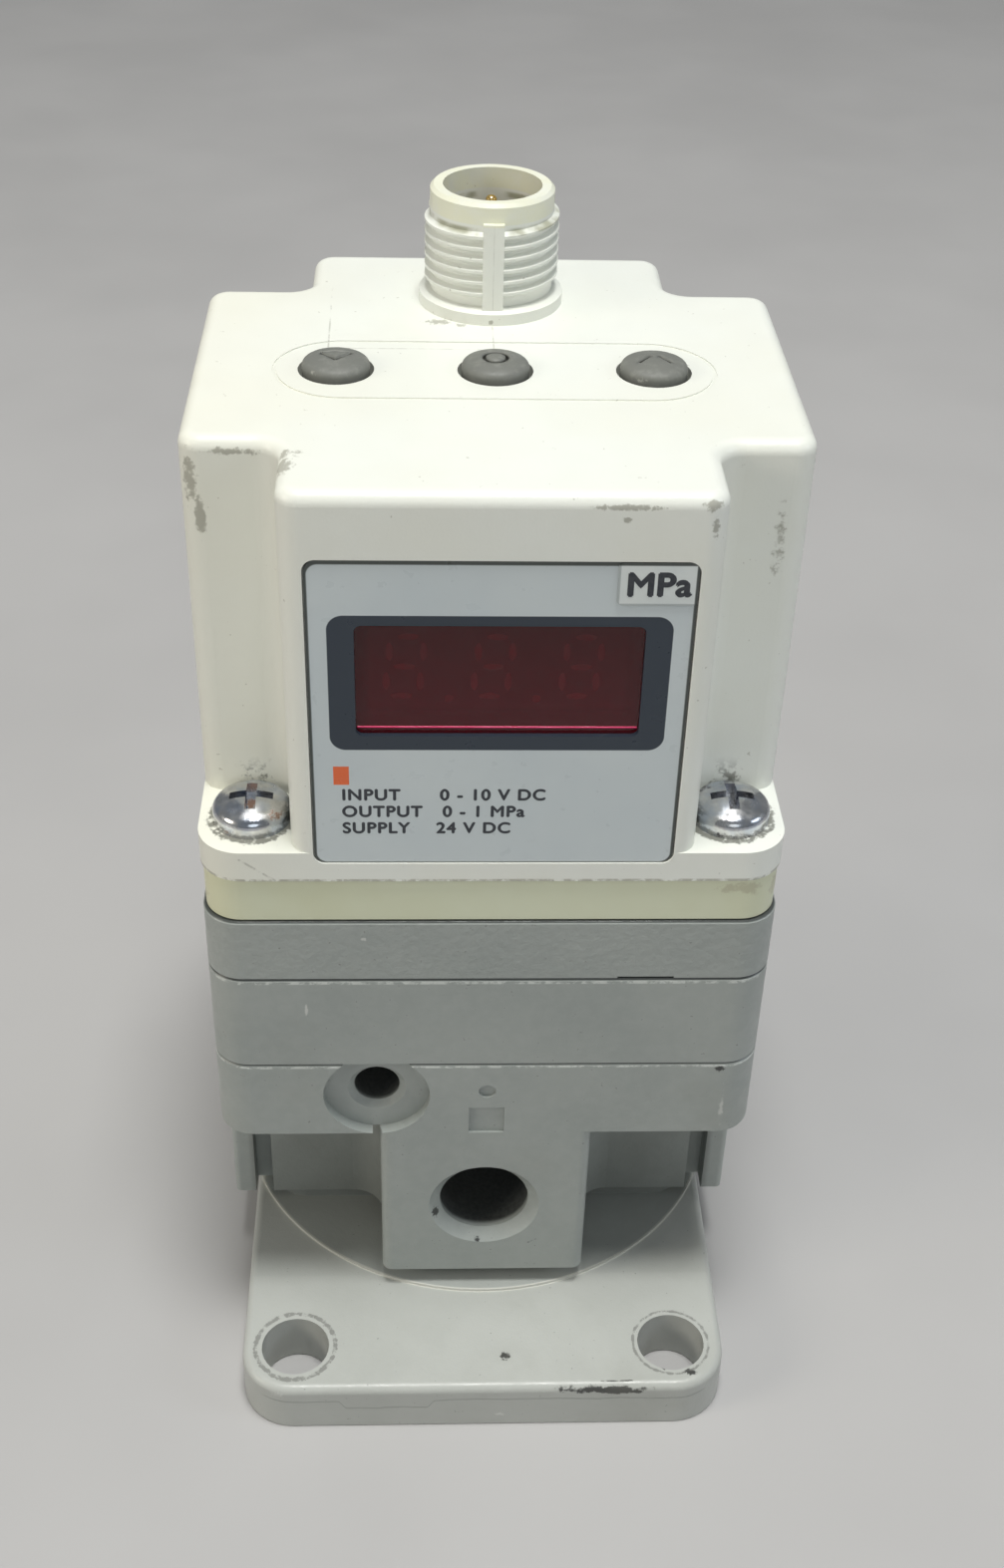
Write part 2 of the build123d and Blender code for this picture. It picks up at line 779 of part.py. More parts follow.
# Nut on the stem
with BuildPart() as diaphragm_nut:
    with BuildSketch(Plane.XY.offset(stack_top)):
        RegularPolygon(nut_flats / 2, 6, major_radius=False)
        Circle(stack_stem_radius + screw_fit, mode=Mode.SUBTRACT)
    extrude(amount=nut_height)
diaphragm_nut.part.label = "diaphragm_nut"
export_step(diaphragm_nut.part, "parts/diaphragm_nut.step")

# Bonnet, which clamps the diaphragm and holds the pilot chamber
with BuildPart() as bonnet:
    with BuildSketch(Plane.XY.offset(body_top)):
        RectangleRounded(body_width, body_depth, body_corner)
    extrude(amount=bonnet_height)
    chamfer(bonnet.faces().filter_by(Axis.Z).edges(), plate_edge)
    with BuildSketch(Plane.XY.offset(body_top)):
        Circle(chamber_wide_radius)
    extrude(amount=pilot_roof - body_top, mode=Mode.SUBTRACT)
    with BuildSketch(Plane.XY.offset(bonnet_top)):
        RectangleRounded(body_width - 2 * gasket_margin, body_depth - 2 * gasket_margin, gasket_corner)
    extrude(amount=-gasket_thickness, mode=Mode.SUBTRACT)
    with Locations((0, 0, bonnet_top)):
        with GridLocations(2 * body_screw_x, 2 * body_screw_y, 2, 2):
            Hole(body_screw_radius + seat_fit)
    with Locations(
        (sense_x, sense_y, bonnet_top),
        (-vent_x, vent_y, bonnet_top),
        (feed_x, 0, bonnet_top),
        (solenoid_x, signal_y, bonnet_top),
    ):
        Hole(drill_radius)
bonnet.part.label = "bonnet"
export_step(bonnet.part, "parts/bonnet.step")

# Gasket between the bonnet and the pilot block
with BuildPart() as pilot_gasket:
    with BuildSketch(Plane.XY.offset(bonnet_top - gasket_thickness)):
        gasket_width = body_width - 2 * gasket_margin - 2 * seat_fit
        gasket_depth = body_depth - 2 * gasket_margin - 2 * seat_fit
        RectangleRounded(gasket_width, gasket_depth, gasket_corner)
        with GridLocations(2 * body_screw_x, 2 * body_screw_y, 2, 2):
            Circle(body_screw_radius + seat_fit, mode=Mode.SUBTRACT)
        with Locations((sense_x, sense_y), (-vent_x, vent_y), (feed_x, 0), (solenoid_x, signal_y)):
            Circle(drill_radius, mode=Mode.SUBTRACT)
    extrude(amount=gasket_thickness)
pilot_gasket.part.label = "pilot_gasket"
export_step(pilot_gasket.part, "parts/pilot_gasket.step")

# Pilot block, the plate that the two pilot valves and the sensor stand on
with BuildPart() as pilot_block:
    with BuildSketch(Plane.XY.offset(bonnet_top)):
        RectangleRounded(body_width, body_depth, body_corner)
    extrude(amount=pilot_height)
    chamfer(pilot_block.faces().filter_by(Axis.Z).edges(), plate_edge)
    with BuildSketch(Plane.XY.offset(bonnet_top)):
        with Locations((seam_notch_x, front_y + seam_notch_depth / 2)):
            Rectangle(seam_notch_width, seam_notch_depth)
    extrude(amount=seam_notch_height, mode=Mode.SUBTRACT)
    with Locations((0, 0, pilot_top)):
        with GridLocations(2 * body_screw_x, 2 * body_screw_y, 2, 2):
            CounterBoreHole(body_screw_radius + seat_fit, body_screw_head + seat_fit, body_screw_head_height)
        with GridLocations(2 * cover_screw_x, 2 * cover_screw_y, 2, 2):
            Hole(cover_screw_radius + screw_fit, depth=cover_screw_bite + tap_room)
        for side in (-1, 1):
            with Locations((side * solenoid_x, solenoid_y)):
                with GridLocations(1, foot_screw_pitch, 1, 2):
                    Hole(solenoid_screw_radius + screw_fit, depth=solenoid_screw_bite + tap_room)
        with Locations((solenoid_x, signal_y), (-solenoid_x, signal_y)):
            Hole(drill_radius)

    # Channels in the underside, closed by the gasket
    with BuildSketch(Plane.XY.offset(bonnet_top)):
        with Locations((sensor_x, (sense_y + sensor_y) / 2)):
            Rectangle(2 * drill_radius, abs(sense_y - sensor_y) + 2 * drill_radius)
        with Locations((-(vent_x + solenoid_x) / 2, vent_y)):
            Rectangle(vent_x - solenoid_x + 2 * drill_radius, 2 * drill_radius)
        with Locations((-solenoid_x, (vent_y + signal_y) / 2)):
            Rectangle(2 * drill_radius, signal_y - vent_y + 2 * drill_radius)
        with Locations(((feed_x + solenoid_x) / 2, feed_y)):
            Rectangle(solenoid_x - feed_x + 2 * drill_radius, 2 * drill_radius)
        with Locations((feed_x, feed_y / 2)):
            Rectangle(2 * drill_radius, feed_y + 2 * drill_radius)
    extrude(amount=2 * drill_radius, mode=Mode.SUBTRACT)
    with Locations((sensor_x, sensor_y, pilot_top), (solenoid_x, feed_y, pilot_top)):
        Hole(drill_radius, depth=pilot_height - drill_radius)

    # Groove of the sensor's sealing ring
    with BuildSketch(Plane.XY.offset(pilot_top)):
        with Locations((sensor_x, sensor_y)):
            Circle(sensor_ring_radius + sensor_ring_section)
            Circle(sensor_ring_radius - sensor_ring_section, mode=Mode.SUBTRACT)
    extrude(amount=-2 * sensor_ring_section, mode=Mode.SUBTRACT)
pilot_block.part.label = "pilot_block"
export_step(pilot_block.part, "parts/pilot_block.step")

# Sealing ring under the pressure sensor
sensor_seal = ring(
    sensor_x,
    sensor_y,
    pilot_top - 2 * sensor_ring_section,
    sensor_ring_radius,
    sensor_ring_section,
)
sensor_seal.label = "sensor_seal"
export_step(sensor_seal, "parts/sensor_seal.step")

# Long socket-head screws that clamp block, bonnet and diaphragm to the body
screw_seat = pilot_top - body_screw_head_height
with BuildPart() as body_screws:
    with GridLocations(2 * body_screw_x, 2 * body_screw_y, 2, 2) as places:
        screw_places = places.local_locations
    for place in screw_places:
        with BuildSketch(axle_plane(place.position.X, place.position.Y)):
            with BuildLine():
                Polyline(
                    (0, body_top - body_screw_bite),
                    (body_screw_radius, body_top - body_screw_bite),
                    (body_screw_radius, screw_seat),
                    (body_screw_head, screw_seat),
                    (body_screw_head, pilot_top - head_edge),
                    (body_screw_head - head_edge, pilot_top),
                    (0, pilot_top),
                    close=True,
                )
            make_face()
        revolve(axis=Axis((place.position.X, place.position.Y, 0), (0, 0, 1)))
        with BuildSketch(Plane(origin=(place.position.X, place.position.Y, pilot_top))):
            RegularPolygon(hex_key_width / 2, 6, major_radius=False)
        extrude(amount=-body_screw_head_height / 2, mode=Mode.SUBTRACT)
body_screws.part.label = "body_screws"
export_step(body_screws.part, "parts/body_screws.step")

# Circuit base, the cream moulding under the cover
wall_plan = cross_plan(cover_wall)
with BuildPart() as circuit_base:
    with BuildSketch(Plane.XY.offset(pilot_top)):
        RectangleRounded(body_width - 2 * base_inset, body_depth - 2 * base_inset, body_corner)
    extrude(amount=base_height)
    chamfer(circuit_base.faces().filter_by(Axis.Z).edges(), plate_edge)
    with BuildSketch(Plane.XY.offset(base_top)):
        add(cross_plan(cover_wall + seat_fit))
    extrude(amount=lip_height)
    with BuildSketch(Plane.XY.offset(pilot_top + base_floor)):
        add(cross_plan(cover_wall + seat_fit + lip_width))
    extrude(amount=base_height + lip_height, mode=Mode.SUBTRACT)
    with BuildSketch(Plane.XY.offset(base_top)):
        add(cross_plan(seal_inset))
        add(cross_plan(seal_inset + seal_width), mode=Mode.SUBTRACT)
    extrude(amount=-gasket_thickness, mode=Mode.SUBTRACT)
    with BuildSketch(Plane.XY.offset(pilot_top)):
        with Locations((solenoid_x, solenoid_y), (-solenoid_x, solenoid_y)):
            Rectangle(solenoid_width + 2 * loose_fit, solenoid_length + 2 * loose_fit)
        with Locations((sensor_x, sensor_y)):
            Circle(sensor_radius + loose_fit)
    extrude(amount=base_floor, mode=Mode.SUBTRACT)
    with Locations((0, 0, base_top)):
        with GridLocations(2 * cover_screw_x, 2 * cover_screw_y, 2, 2):
            Hole(cover_screw_radius + loose_fit)
circuit_base.part.label = "circuit_base"
export_step(circuit_base.part, "parts/circuit_base.step")

# Gasket in the groove between the base and the cover
with BuildPart() as cover_gasket:
    with BuildSketch(Plane.XY.offset(base_top - gasket_thickness)):
        add(cross_plan(seal_inset + screw_fit))
        add(cross_plan(seal_inset + seal_width - screw_fit), mode=Mode.SUBTRACT)
    extrude(amount=gasket_thickness)
cover_gasket.part.label = "cover_gasket"
export_step(cover_gasket.part, "parts/cover_gasket.step")

# Pilot valves, sealed units with a foot that is screwed to the pilot block
coil_length = foot_screw_pitch - 2 * (solenoid_screw_head + solenoid_foot_gap)
for name, x in solenoid_places.items():
    with BuildPart() as solenoid:
        with BuildSketch(Plane(origin=(x, solenoid_y, pilot_top))):
            Rectangle(solenoid_width, solenoid_length)
        extrude(amount=solenoid_foot)
        with BuildSketch(Plane(origin=(x, solenoid_y, pilot_top + solenoid_foot))):
            RectangleRounded(solenoid_width, coil_length, solenoid_edge)
        extrude(amount=solenoid_height - solenoid_foot)
        fillet(solenoid.faces().sort_by(Axis.Z)[-1].edges(), solenoid_edge / 2)
        with Locations((x, solenoid_y, pilot_top + solenoid_foot)):
            with GridLocations(1, foot_screw_pitch, 1, 2):
                Hole(solenoid_screw_radius + seat_fit)
    solenoid.part.label = f"{name}_solenoid"
    export_step(solenoid.part, f"parts/{name}_solenoid.step")

# Small screws in the feet of the pilot valves
with BuildPart() as solenoid_screws:
    for x in solenoid_places.values():
        for side in (-1, 1):
            y = solenoid_y + side * foot_screw_pitch / 2
            head_floor = pilot_top + solenoid_foot
            head_top = head_floor + solenoid_screw_head_height
            with BuildSketch(axle_plane(x, y)):
                with BuildLine():
                    Polyline(
                        (0, pilot_top - solenoid_screw_bite),
                        (solenoid_screw_radius, pilot_top - solenoid_screw_bite),
                        (solenoid_screw_radius, head_floor),
                        (solenoid_screw_head, head_floor),
                        (solenoid_screw_head, head_top - head_edge),
                        (solenoid_screw_head - head_edge, head_top),
                        (0, head_top),
                        close=True,
                    )
                make_face()
            revolve(axis=Axis((x, y, 0), (0, 0, 1)))
solenoid_screws.part.label = "solenoid_screws"
export_step(solenoid_screws.part, "parts/solenoid_screws.step")

# Pressure sensor, a small can with a cap
with BuildPart() as pressure_sensor:
    with BuildSketch(axle_plane(sensor_x, sensor_y)):
        with BuildLine():
            Polyline(
                (0, pilot_top),
                (sensor_radius, pilot_top),
                (sensor_radius, pilot_top + sensor_height - sensor_cap_height),
                (sensor_cap_radius, pilot_top + sensor_height - sensor_cap_height),
                (sensor_cap_radius, pilot_top + sensor_height),
                (0, pilot_top + sensor_height),
                close=True,
            )
        make_face()
    revolve(axis=Axis((sensor_x, sensor_y, 0), (0, 0, 1)))
pressure_sensor.part.label = "pressure_sensor"
export_step(pressure_sensor.part, "parts/pressure_sensor.step")

# Control board, standing upright across the wings
with BuildPart() as control_board:
    with BuildSketch(Plane(origin=(0, control_board_y, board_floor))):
        Rectangle(wide_board_width, board_thickness)
    extrude(amount=button_board_floor - board_floor)
control_board.part.label = "control_board"
export_step(control_board.part, "parts/control_board.step")

# Display board, hanging from the button board behind the window
display_board_floor = button_board_floor - display_board_height
with BuildPart() as display_board:
    with BuildSketch(Plane(origin=(0, display_back_y + board_thickness / 2, display_board_floor))):
        Rectangle(display_board_width, board_thickness)
    extrude(amount=display_board_height)
display_board.part.label = "display_board"
export_step(display_board.part, "parts/display_board.step")

# Header that joins the display board to the control board
with BuildPart() as board_header:
    with BuildSketch(Plane(origin=(0, (header_front + header_back) / 2, display_board_floor + header_rise))):
        Rectangle(header_width, header_length)
    extrude(amount=header_height)
board_header.part.label = "board_header"
export_step(board_header.part, "parts/board_header.step")

# Three-digit display module behind the red filter
with BuildPart() as led_display:
    with BuildSketch(Plane.XZ.offset(-(wall_y + window_flange))):
        with Locations((0, window_z)):
            RectangleRounded(window_width + 2 * window_rim, window_height + 2 * window_rim, window_corner)
    extrude(amount=-display_depth)
led_display.part.label = "led_display"
export_step(led_display.part, "parts/led_display.step")

# Button board under the cover's roof, with holes for the connector's pins
with BuildPart() as button_board:
    with BuildSketch(Plane.XY.offset(button_board_floor)):
        with Locations((0, (button_board_front + boss_y + boss_radius) / 2)):
            Rectangle(wide_board_width, boss_y + boss_radius - button_board_front)
        with Locations((0, (button_board_front + button_board_back) / 2)):
            Rectangle(board_tab_width, button_board_back - button_board_front)
        with Locations((-boss_x, boss_y), (boss_x, boss_y)):
            Circle(board_screw_radius + seat_fit, mode=Mode.SUBTRACT)
        with Locations((0, connector_y)):
            with PolarLocations(pin_circle_radius, 4):
                Circle(pin_radius + screw_fit, mode=Mode.SUBTRACT)
    extrude(amount=board_thickness)
button_board.part.label = "button_board"
export_step(button_board.part, "parts/button_board.step")

# Key switches on the button board, each with its own plunger
for name, x in button_places.items():
    with BuildPart() as switch:
        with BuildSketch(Plane(origin=(x, button_y, switch_floor))):
            RectangleRounded(switch_size, switch_size, switch_corner)
        extrude(amount=switch_height)
        with Locations((x, button_y, switch_top)):
            Hole(plunger_radius + running_fit, depth=plunger_grip + button_travel + switch_room)
    switch.part.label = f"switch_{name}"
    export_step(switch.part, f"parts/switch_{name}.step")
    with BuildPart() as plunger:
        with BuildSketch(Plane(origin=(x, button_y, plunger_floor))):
            Circle(plunger_radius)
        extrude(amount=button_stem_floor - plunger_floor)
    plunger.part.label = f"switch_plunger_{name}"
    export_step(plunger.part, f"parts/switch_plunger_{name}.step")

# Domed buttons, held under the roof by their flanges
dome_shoulder = cover_top + button_shoulder
button_flange_floor = roof_floor - button_flange_thickness
for name, x in button_places.items():
    with BuildPart() as button:
        with BuildSketch(axle_plane(x, button_y)):
            with BuildLine():
                Polyline(
                    (0, cover_top + button_rise),
                    (0, button_stem_floor),
                    (button_stem_radius, button_stem_floor),
                    (button_stem_radius, button_flange_floor),
                    (button_flange_radius, button_flange_floor),
                    (button_flange_radius, roof_floor),
                    (button_radius, roof_floor),
                    (button_radius, dome_shoulder),
                )
                dome(button_radius, dome_shoulder, cover_top + button_rise)
            make_face()
        revolve(axis=Axis((x, button_y, 0), (0, 0, 1)))
        rims = button.edges().filter_by(GeomType.CIRCLE)
        shoulder = rims.filter_by_position(Axis.Z, dome_shoulder - screw_fit, dome_shoulder + screw_fit)
        fillet(shoulder, button_edge)
    button.part.label = f"button_{name}"
    export_step(button.part, f"parts/button_{name}.step")

# Small screws that hold the button board to the cover's bosses
with BuildPart() as board_screws:
    for x in (-boss_x, boss_x):
        with BuildSketch(axle_plane(x, boss_y)):
            with BuildLine():
                Polyline(
                    (0, button_board_floor - board_screw_head_height),
                    (board_screw_head, button_board_floor - board_screw_head_height),
                    (board_screw_head, button_board_floor),
                    (board_screw_radius, button_board_floor),
                    (board_screw_radius, button_board_floor + board_screw_bite),
                    (0, button_board_floor + board_screw_bite),
                    close=True,
                )
            make_face()
        revolve(axis=Axis((x, boss_y, 0), (0, 0, 1)))
board_screws.part.label = "board_screws"
export_step(board_screws.part, "parts/board_screws.step")

# Cover, one moulding with the connector's shell
with BuildPart() as cover:
    with BuildSketch(Plane.XY.offset(base_top)):
        add(cross_plan(0))
    extrude(amount=cover_height)
    fillet(cover.faces().sort_by(Axis.Z)[-1].edges(), cover_edge)
    with BuildSketch(Plane.XY.offset(base_top)):
        RectangleRounded(body_width, body_depth, ledge_corner)
    extrude(amount=ledge_height)
    with BuildSketch(Plane.XY.offset(base_top)):
        add(wall_plan)
    extrude(amount=cover_height - roof_thickness, mode=Mode.SUBTRACT)

    # Connector shell: collar, neck, thread core with two parting strips, and rim
    with BuildSketch(axle_plane(0, connector_y)):
        with BuildLine():
            Polyline(
                (0, roof_floor),
                (collar_radius, roof_floor),
                (collar_radius, cover_top + collar_height),
                (thread_core_radius, cover_top + collar_height + collar_cone),
                (thread_core_radius, rim_top - rim_edge),
                (thread_core_radius - rim_edge, rim_top),
                (0, rim_top),
                close=True,
            )
        make_face()
    revolve(axis=Axis((0, connector_y, 0), (0, 0, 1)))
    with BuildSketch(Plane.XY.offset(cover_top + collar_height)):
        with Locations((0, connector_y)):
            Circle(thread_crest_radius)
            Rectangle(strip_width, 4 * thread_crest_radius, mode=Mode.INTERSECT)
    extrude(amount=connector_height - collar_height - rim_height)
    with Locations((0, connector_y, rim_top)):
        Hole(connector_bore, depth=connector_height + roof_thickness)

    # Bosses for the button board, under the roof
    with BuildSketch(Plane.XY.offset(button_board_floor + board_thickness)):
        with Locations((-boss_x, boss_y), (boss_x, boss_y)):
            Circle(boss_radius)
    extrude(amount=roof_floor - button_board_floor - board_thickness)
    with Locations((0, 0, button_board_floor)):
        with Locations(
            Location((-boss_x, boss_y, 0), (180, 0, 0)),
            Location((boss_x, boss_y, 0), (180, 0, 0)),
        ):
            Hole(board_screw_radius + screw_fit, depth=board_screw_bite + tap_room)

    # Button holes and the outline of the key field
    with Locations((0, button_y, cover_top)):
        with GridLocations(button_pitch, 1, 3, 1):
            Hole(button_hole_radius, depth=roof_thickness)
    with BuildSketch(Plane.XY.offset(cover_top)):
        with Locations((0, button_y)):
            SlotOverall(key_field_length, key_field_width)
            inner_length = key_field_length - 2 * key_field_groove
            inner_width = key_field_width - 2 * key_field_groove
            SlotOverall(inner_length, inner_width, mode=Mode.SUBTRACT)
    extrude(amount=-key_field_depth, mode=Mode.SUBTRACT)

    # Label recess and window in the front wall
    with BuildSketch(Plane.XZ.offset(-front_y)):
        with Locations((0, label_z)):
            RectangleRounded(label_width, label_height, label_corner)
    extrude(amount=-label_recess, mode=Mode.SUBTRACT)
    with BuildSketch(Plane.XZ.offset(-label_floor_y)):
        with Locations((0, window_z)):
            RectangleRounded(window_width + 2 * seat_fit, window_height + 2 * seat_fit, window_corner)
    extrude(amount=-cover_wall, mode=Mode.SUBTRACT)

    # Screw holes in the ledge
    with Locations((0, 0, base_top + ledge_height)):
        with GridLocations(2 * cover_screw_x, 2 * cover_screw_y, 2, 2):
            Hole(cover_screw_radius + seat_fit, depth=ledge_height)
cover.part.label = "cover"
export_step(cover.part, "parts/cover.step")

# Pan-head screws with a cross recess, in the corner notches of the cover
ledge_top = base_top + ledge_height
head_top = ledge_top + cover_screw_head_height
head_shoulder = ledge_top + cover_screw_shoulder
with BuildPart() as cover_screws:
    with GridLocations(2 * cover_screw_x, 2 * cover_screw_y, 2, 2) as places:
        screw_places = places.local_locations
    for place in screw_places:
        with BuildSketch(axle_plane(place.position.X, place.position.Y)):
            with BuildLine():
                Polyline(
                    (0, head_top),
                    (0, pilot_top - cover_screw_bite),
                    (cover_screw_radius, pilot_top - cover_screw_bite),
                    (cover_screw_radius, ledge_top),
                    (cover_screw_head, ledge_top),
                    (cover_screw_head, head_shoulder),
                )
                dome(cover_screw_head, head_shoulder, head_top)
            make_face()
        revolve(axis=Axis((place.position.X, place.position.Y, 0), (0, 0, 1)))
    rims = cover_screws.edges().filter_by(GeomType.CIRCLE)
    shoulder = rims.filter_by_position(Axis.Z, head_shoulder - screw_fit, head_shoulder + screw_fit)
    fillet(shoulder, cover_screw_edge)
    with BuildSketch(Plane.XY.offset(head_top)):
        with GridLocations(2 * cover_screw_x, 2 * cover_screw_y, 2, 2):
            Rectangle(cross_length, cross_width)
            Rectangle(cross_width, cross_length)
    extrude(amount=-cross_depth, mode=Mode.SUBTRACT)
cover_screws.part.label = "cover_screws"
export_step(cover_screws.part, "parts/cover_screws.step")

# Insert that carries the connector's pins, pushed in from below
with BuildPart() as connector_insert:
    with BuildSketch(axle_plane(0, connector_y)):
        with BuildLine():
            Polyline(
                (0, roof_floor - insert_flange_thickness),
                (insert_flange_radius, roof_floor - insert_flange_thickness),
                (insert_flange_radius, roof_floor),
                (connector_bore - screw_fit, roof_floor),
                (connector_bore - screw_fit, insert_face),
                (0, insert_face),
                close=True,
            )
        make_face()
    revolve(axis=Axis((0, connector_y, 0), (0, 0, 1)))
    with Locations((0, connector_y, insert_face)):
        with PolarLocations(pin_circle_radius, 4):
            Hole(pin_radius + screw_fit)
connector_insert.part.label = "connector_insert"
export_step(connector_insert.part, "parts/connector_insert.step")

# Contact pins, from the button board up into the shell
with BuildPart() as connector_pins:
    with BuildSketch(Plane.XY.offset(pin_top - pin_length)):
        with Locations((0, connector_y)):
            with PolarLocations(pin_circle_radius, 4):
                Circle(pin_radius)
    extrude(amount=pin_length)
    tips = connector_pins.edges().group_by(Axis.Z)[-1]
    fillet(tips, pin_edge)
connector_pins.part.label = "connector_pins"
export_step(connector_pins.part, "parts/connector_pins.step")

# Printed name plate in the recess, with an opening for the display
with BuildPart() as name_plate:
    with BuildSketch(Plane.XZ.offset(-label_floor_y)):
        with Locations((0, label_z)):
            RectangleRounded(label_width - 2 * seat_fit, label_height - 2 * seat_fit, label_corner)
        with Locations((0, window_z)):
            RectangleRounded(window_width, window_height, window_corner, mode=Mode.SUBTRACT)
    extrude(amount=label_thickness)
name_plate.part.label = "name_plate"
export_step(name_plate.part, "parts/name_plate.step")

# Unit sticker in the plate's upper right corner
tag_x = label_width / 2 - seat_fit - tag_width / 2
tag_z = label_z + label_height / 2 - seat_fit - tag_height / 2
with BuildPart() as unit_tag:
    with BuildSketch(Plane.XZ.offset(-label_face_y)):
        with Locations((tag_x, tag_z)):
            RectangleRounded(tag_width, tag_height, label_corner / 2)
    extrude(amount=tag_thickness)
unit_tag.part.label = "unit_tag"
export_step(unit_tag.part, "parts/unit_tag.step")

# Red filter in the window, with a flange behind the wall
with BuildPart() as display_window:
    with BuildSketch(Plane.XZ.offset(-label_floor_y)):
        with Locations((0, window_z)):
            RectangleRounded(window_width, window_height, window_corner)
    extrude(amount=-(cover_wall - label_recess))
    with BuildSketch(Plane.XZ.offset(-wall_y)):
        with Locations((0, window_z)):
            RectangleRounded(window_width + 2 * window_rim, window_height + 2 * window_rim, window_corner)
    extrude(amount=-window_flange)
display_window.part.label = "display_window"
export_step(display_window.part, "parts/display_window.step")
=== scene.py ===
# %% [markdown]
# # An electro-pneumatic regulator, dressed for its picture
# The solids of this regulator come ready made: painted plates, a white moulded cover, screws,
# keys and the parts inside. This lesson adds what the solids leave out. It cuts the round
# thread of the connector, engraves the keys, prints the name plate, sets the digits behind
# the red window, and then gives every part a finish with the small wear of a used device.
#
# The solids are loaded first, as a fixed frame that nothing here moves or changes. One unit
# in the scene is a metre, so lengths are written in millimetres times a small constant.

# %% Load the frame
import json
from math import cos, pi, radians, sin

import bmesh
import bpy
from mathutils import Matrix, Vector

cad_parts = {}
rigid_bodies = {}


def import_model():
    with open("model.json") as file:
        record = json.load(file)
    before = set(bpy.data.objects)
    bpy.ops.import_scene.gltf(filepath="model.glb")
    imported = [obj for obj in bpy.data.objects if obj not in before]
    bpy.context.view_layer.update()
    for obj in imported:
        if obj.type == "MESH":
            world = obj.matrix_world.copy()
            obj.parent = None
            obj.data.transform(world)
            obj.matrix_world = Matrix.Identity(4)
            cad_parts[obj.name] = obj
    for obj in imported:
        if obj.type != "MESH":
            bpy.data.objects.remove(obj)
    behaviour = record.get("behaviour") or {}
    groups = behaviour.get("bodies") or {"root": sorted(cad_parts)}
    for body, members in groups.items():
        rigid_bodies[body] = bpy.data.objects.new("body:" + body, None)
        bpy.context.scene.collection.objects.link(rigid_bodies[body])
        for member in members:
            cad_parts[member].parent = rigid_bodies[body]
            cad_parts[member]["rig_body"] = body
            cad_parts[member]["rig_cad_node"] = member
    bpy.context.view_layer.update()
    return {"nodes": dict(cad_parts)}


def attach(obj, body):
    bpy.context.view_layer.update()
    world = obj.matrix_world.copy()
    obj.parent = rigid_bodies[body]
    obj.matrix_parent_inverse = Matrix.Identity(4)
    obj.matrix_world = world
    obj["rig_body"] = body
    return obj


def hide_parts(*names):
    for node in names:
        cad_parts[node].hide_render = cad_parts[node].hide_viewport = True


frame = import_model()
nodes = frame["nodes"]
mm = 0.001

# %% [markdown]
# ## Camera
# The picture was taken from a little above, close to the front, with a slight turn and tilt.
# A camera could be aimed with a tracking constraint, but a tilt of under two degrees is easier
# to give as three plain turns, made one after another: the turn about the upright, the look
# downwards, and the roll about the line of sight.

# %% Camera
bpy.context.scene.view_settings.view_transform = "Standard"
eye = bpy.data.cameras.new("eye")
eye.lens = 43.77
eye.sensor_width = 36.0
eye.sensor_fit = "AUTO"
eye.clip_start = 0.01
camera = bpy.data.objects.new("camera", eye)
bpy.context.scene.collection.objects.link(camera)
camera.matrix_world = (
    Matrix.Translation(Vector((-5.91, -149.18, 159.43)) * mm)
    @ Matrix.Rotation(radians(-2.92), 4, "Z")
    @ Matrix.Rotation(radians(90 - 36.17), 4, "X")
    @ Matrix.Rotation(radians(1.77), 4, "Z")
)
bpy.context.scene.camera = camera
print("camera at", [round(v / mm) for v in camera.matrix_world.translation], "mm")

# %% [markdown]
# ## Helpers for modelling
# Each new piece starts as one of Blender's primitives and is shaped in edit mode, the way it
# is done by hand. An operator acts on everything that is selected, so the first helper
# deselects all before it adds a primitive. The second opens a piece in edit mode and selects
# only the vertices that pass a test on their place.

# %% Helpers for modelling
def start(kind, name, **settings):
    """Add one primitive, alone in the selection, and give it its name."""
    bpy.ops.object.select_all(action="DESELECT")
    getattr(bpy.ops.mesh, f"primitive_{kind}_add")(**settings)
    piece = bpy.context.object
    piece.name = piece.data.name = name
    return piece


def only(piece):
    """Select this piece alone and make it the active one."""
    bpy.ops.object.select_all(action="DESELECT")
    piece.select_set(True)
    bpy.context.view_layer.objects.active = piece


def pick(piece, test):
    """Open the piece in edit mode and select the vertices whose place passes the test."""
    only(piece)
    bpy.ops.object.mode_set(mode="EDIT")
    bpy.ops.mesh.select_mode(type="VERT")
    bpy.ops.mesh.select_all(action="DESELECT")
    mesh = bmesh.from_edit_mesh(piece.data)
    for vertex in mesh.verts:
        vertex.select = test(vertex.co)
    mesh.select_flush(True)
    bmesh.update_edit_mesh(piece.data)


def settle(piece, body, smooth=30):
    """Put the place in the mesh, smooth it, and let the piece ride on its body."""
    if bpy.context.mode != "OBJECT":
        bpy.ops.object.mode_set(mode="OBJECT")
    only(piece)
    bpy.ops.object.transform_apply(location=True, rotation=True, scale=True)
    bpy.ops.object.shade_smooth_by_angle(angle=radians(smooth))
    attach(piece, body)
    print(piece.name, "has", len(piece.data.polygons), "faces")
    return piece

# %% [markdown]
# ## Thread of the connector
# The round connector on top has an outside thread of 12 mm with a pitch of 1 mm, moulded in
# two halves, so the thread stops at a flat strip at the front and the back. The solid already
# has the core and both strips. A thread is one ridge wound round the core: a small four-sided
# section, turned and lifted by a Screw modifier. Rings stacked one over another would be
# quicker, but they don't climb, and that shows where the thread starts and ends.

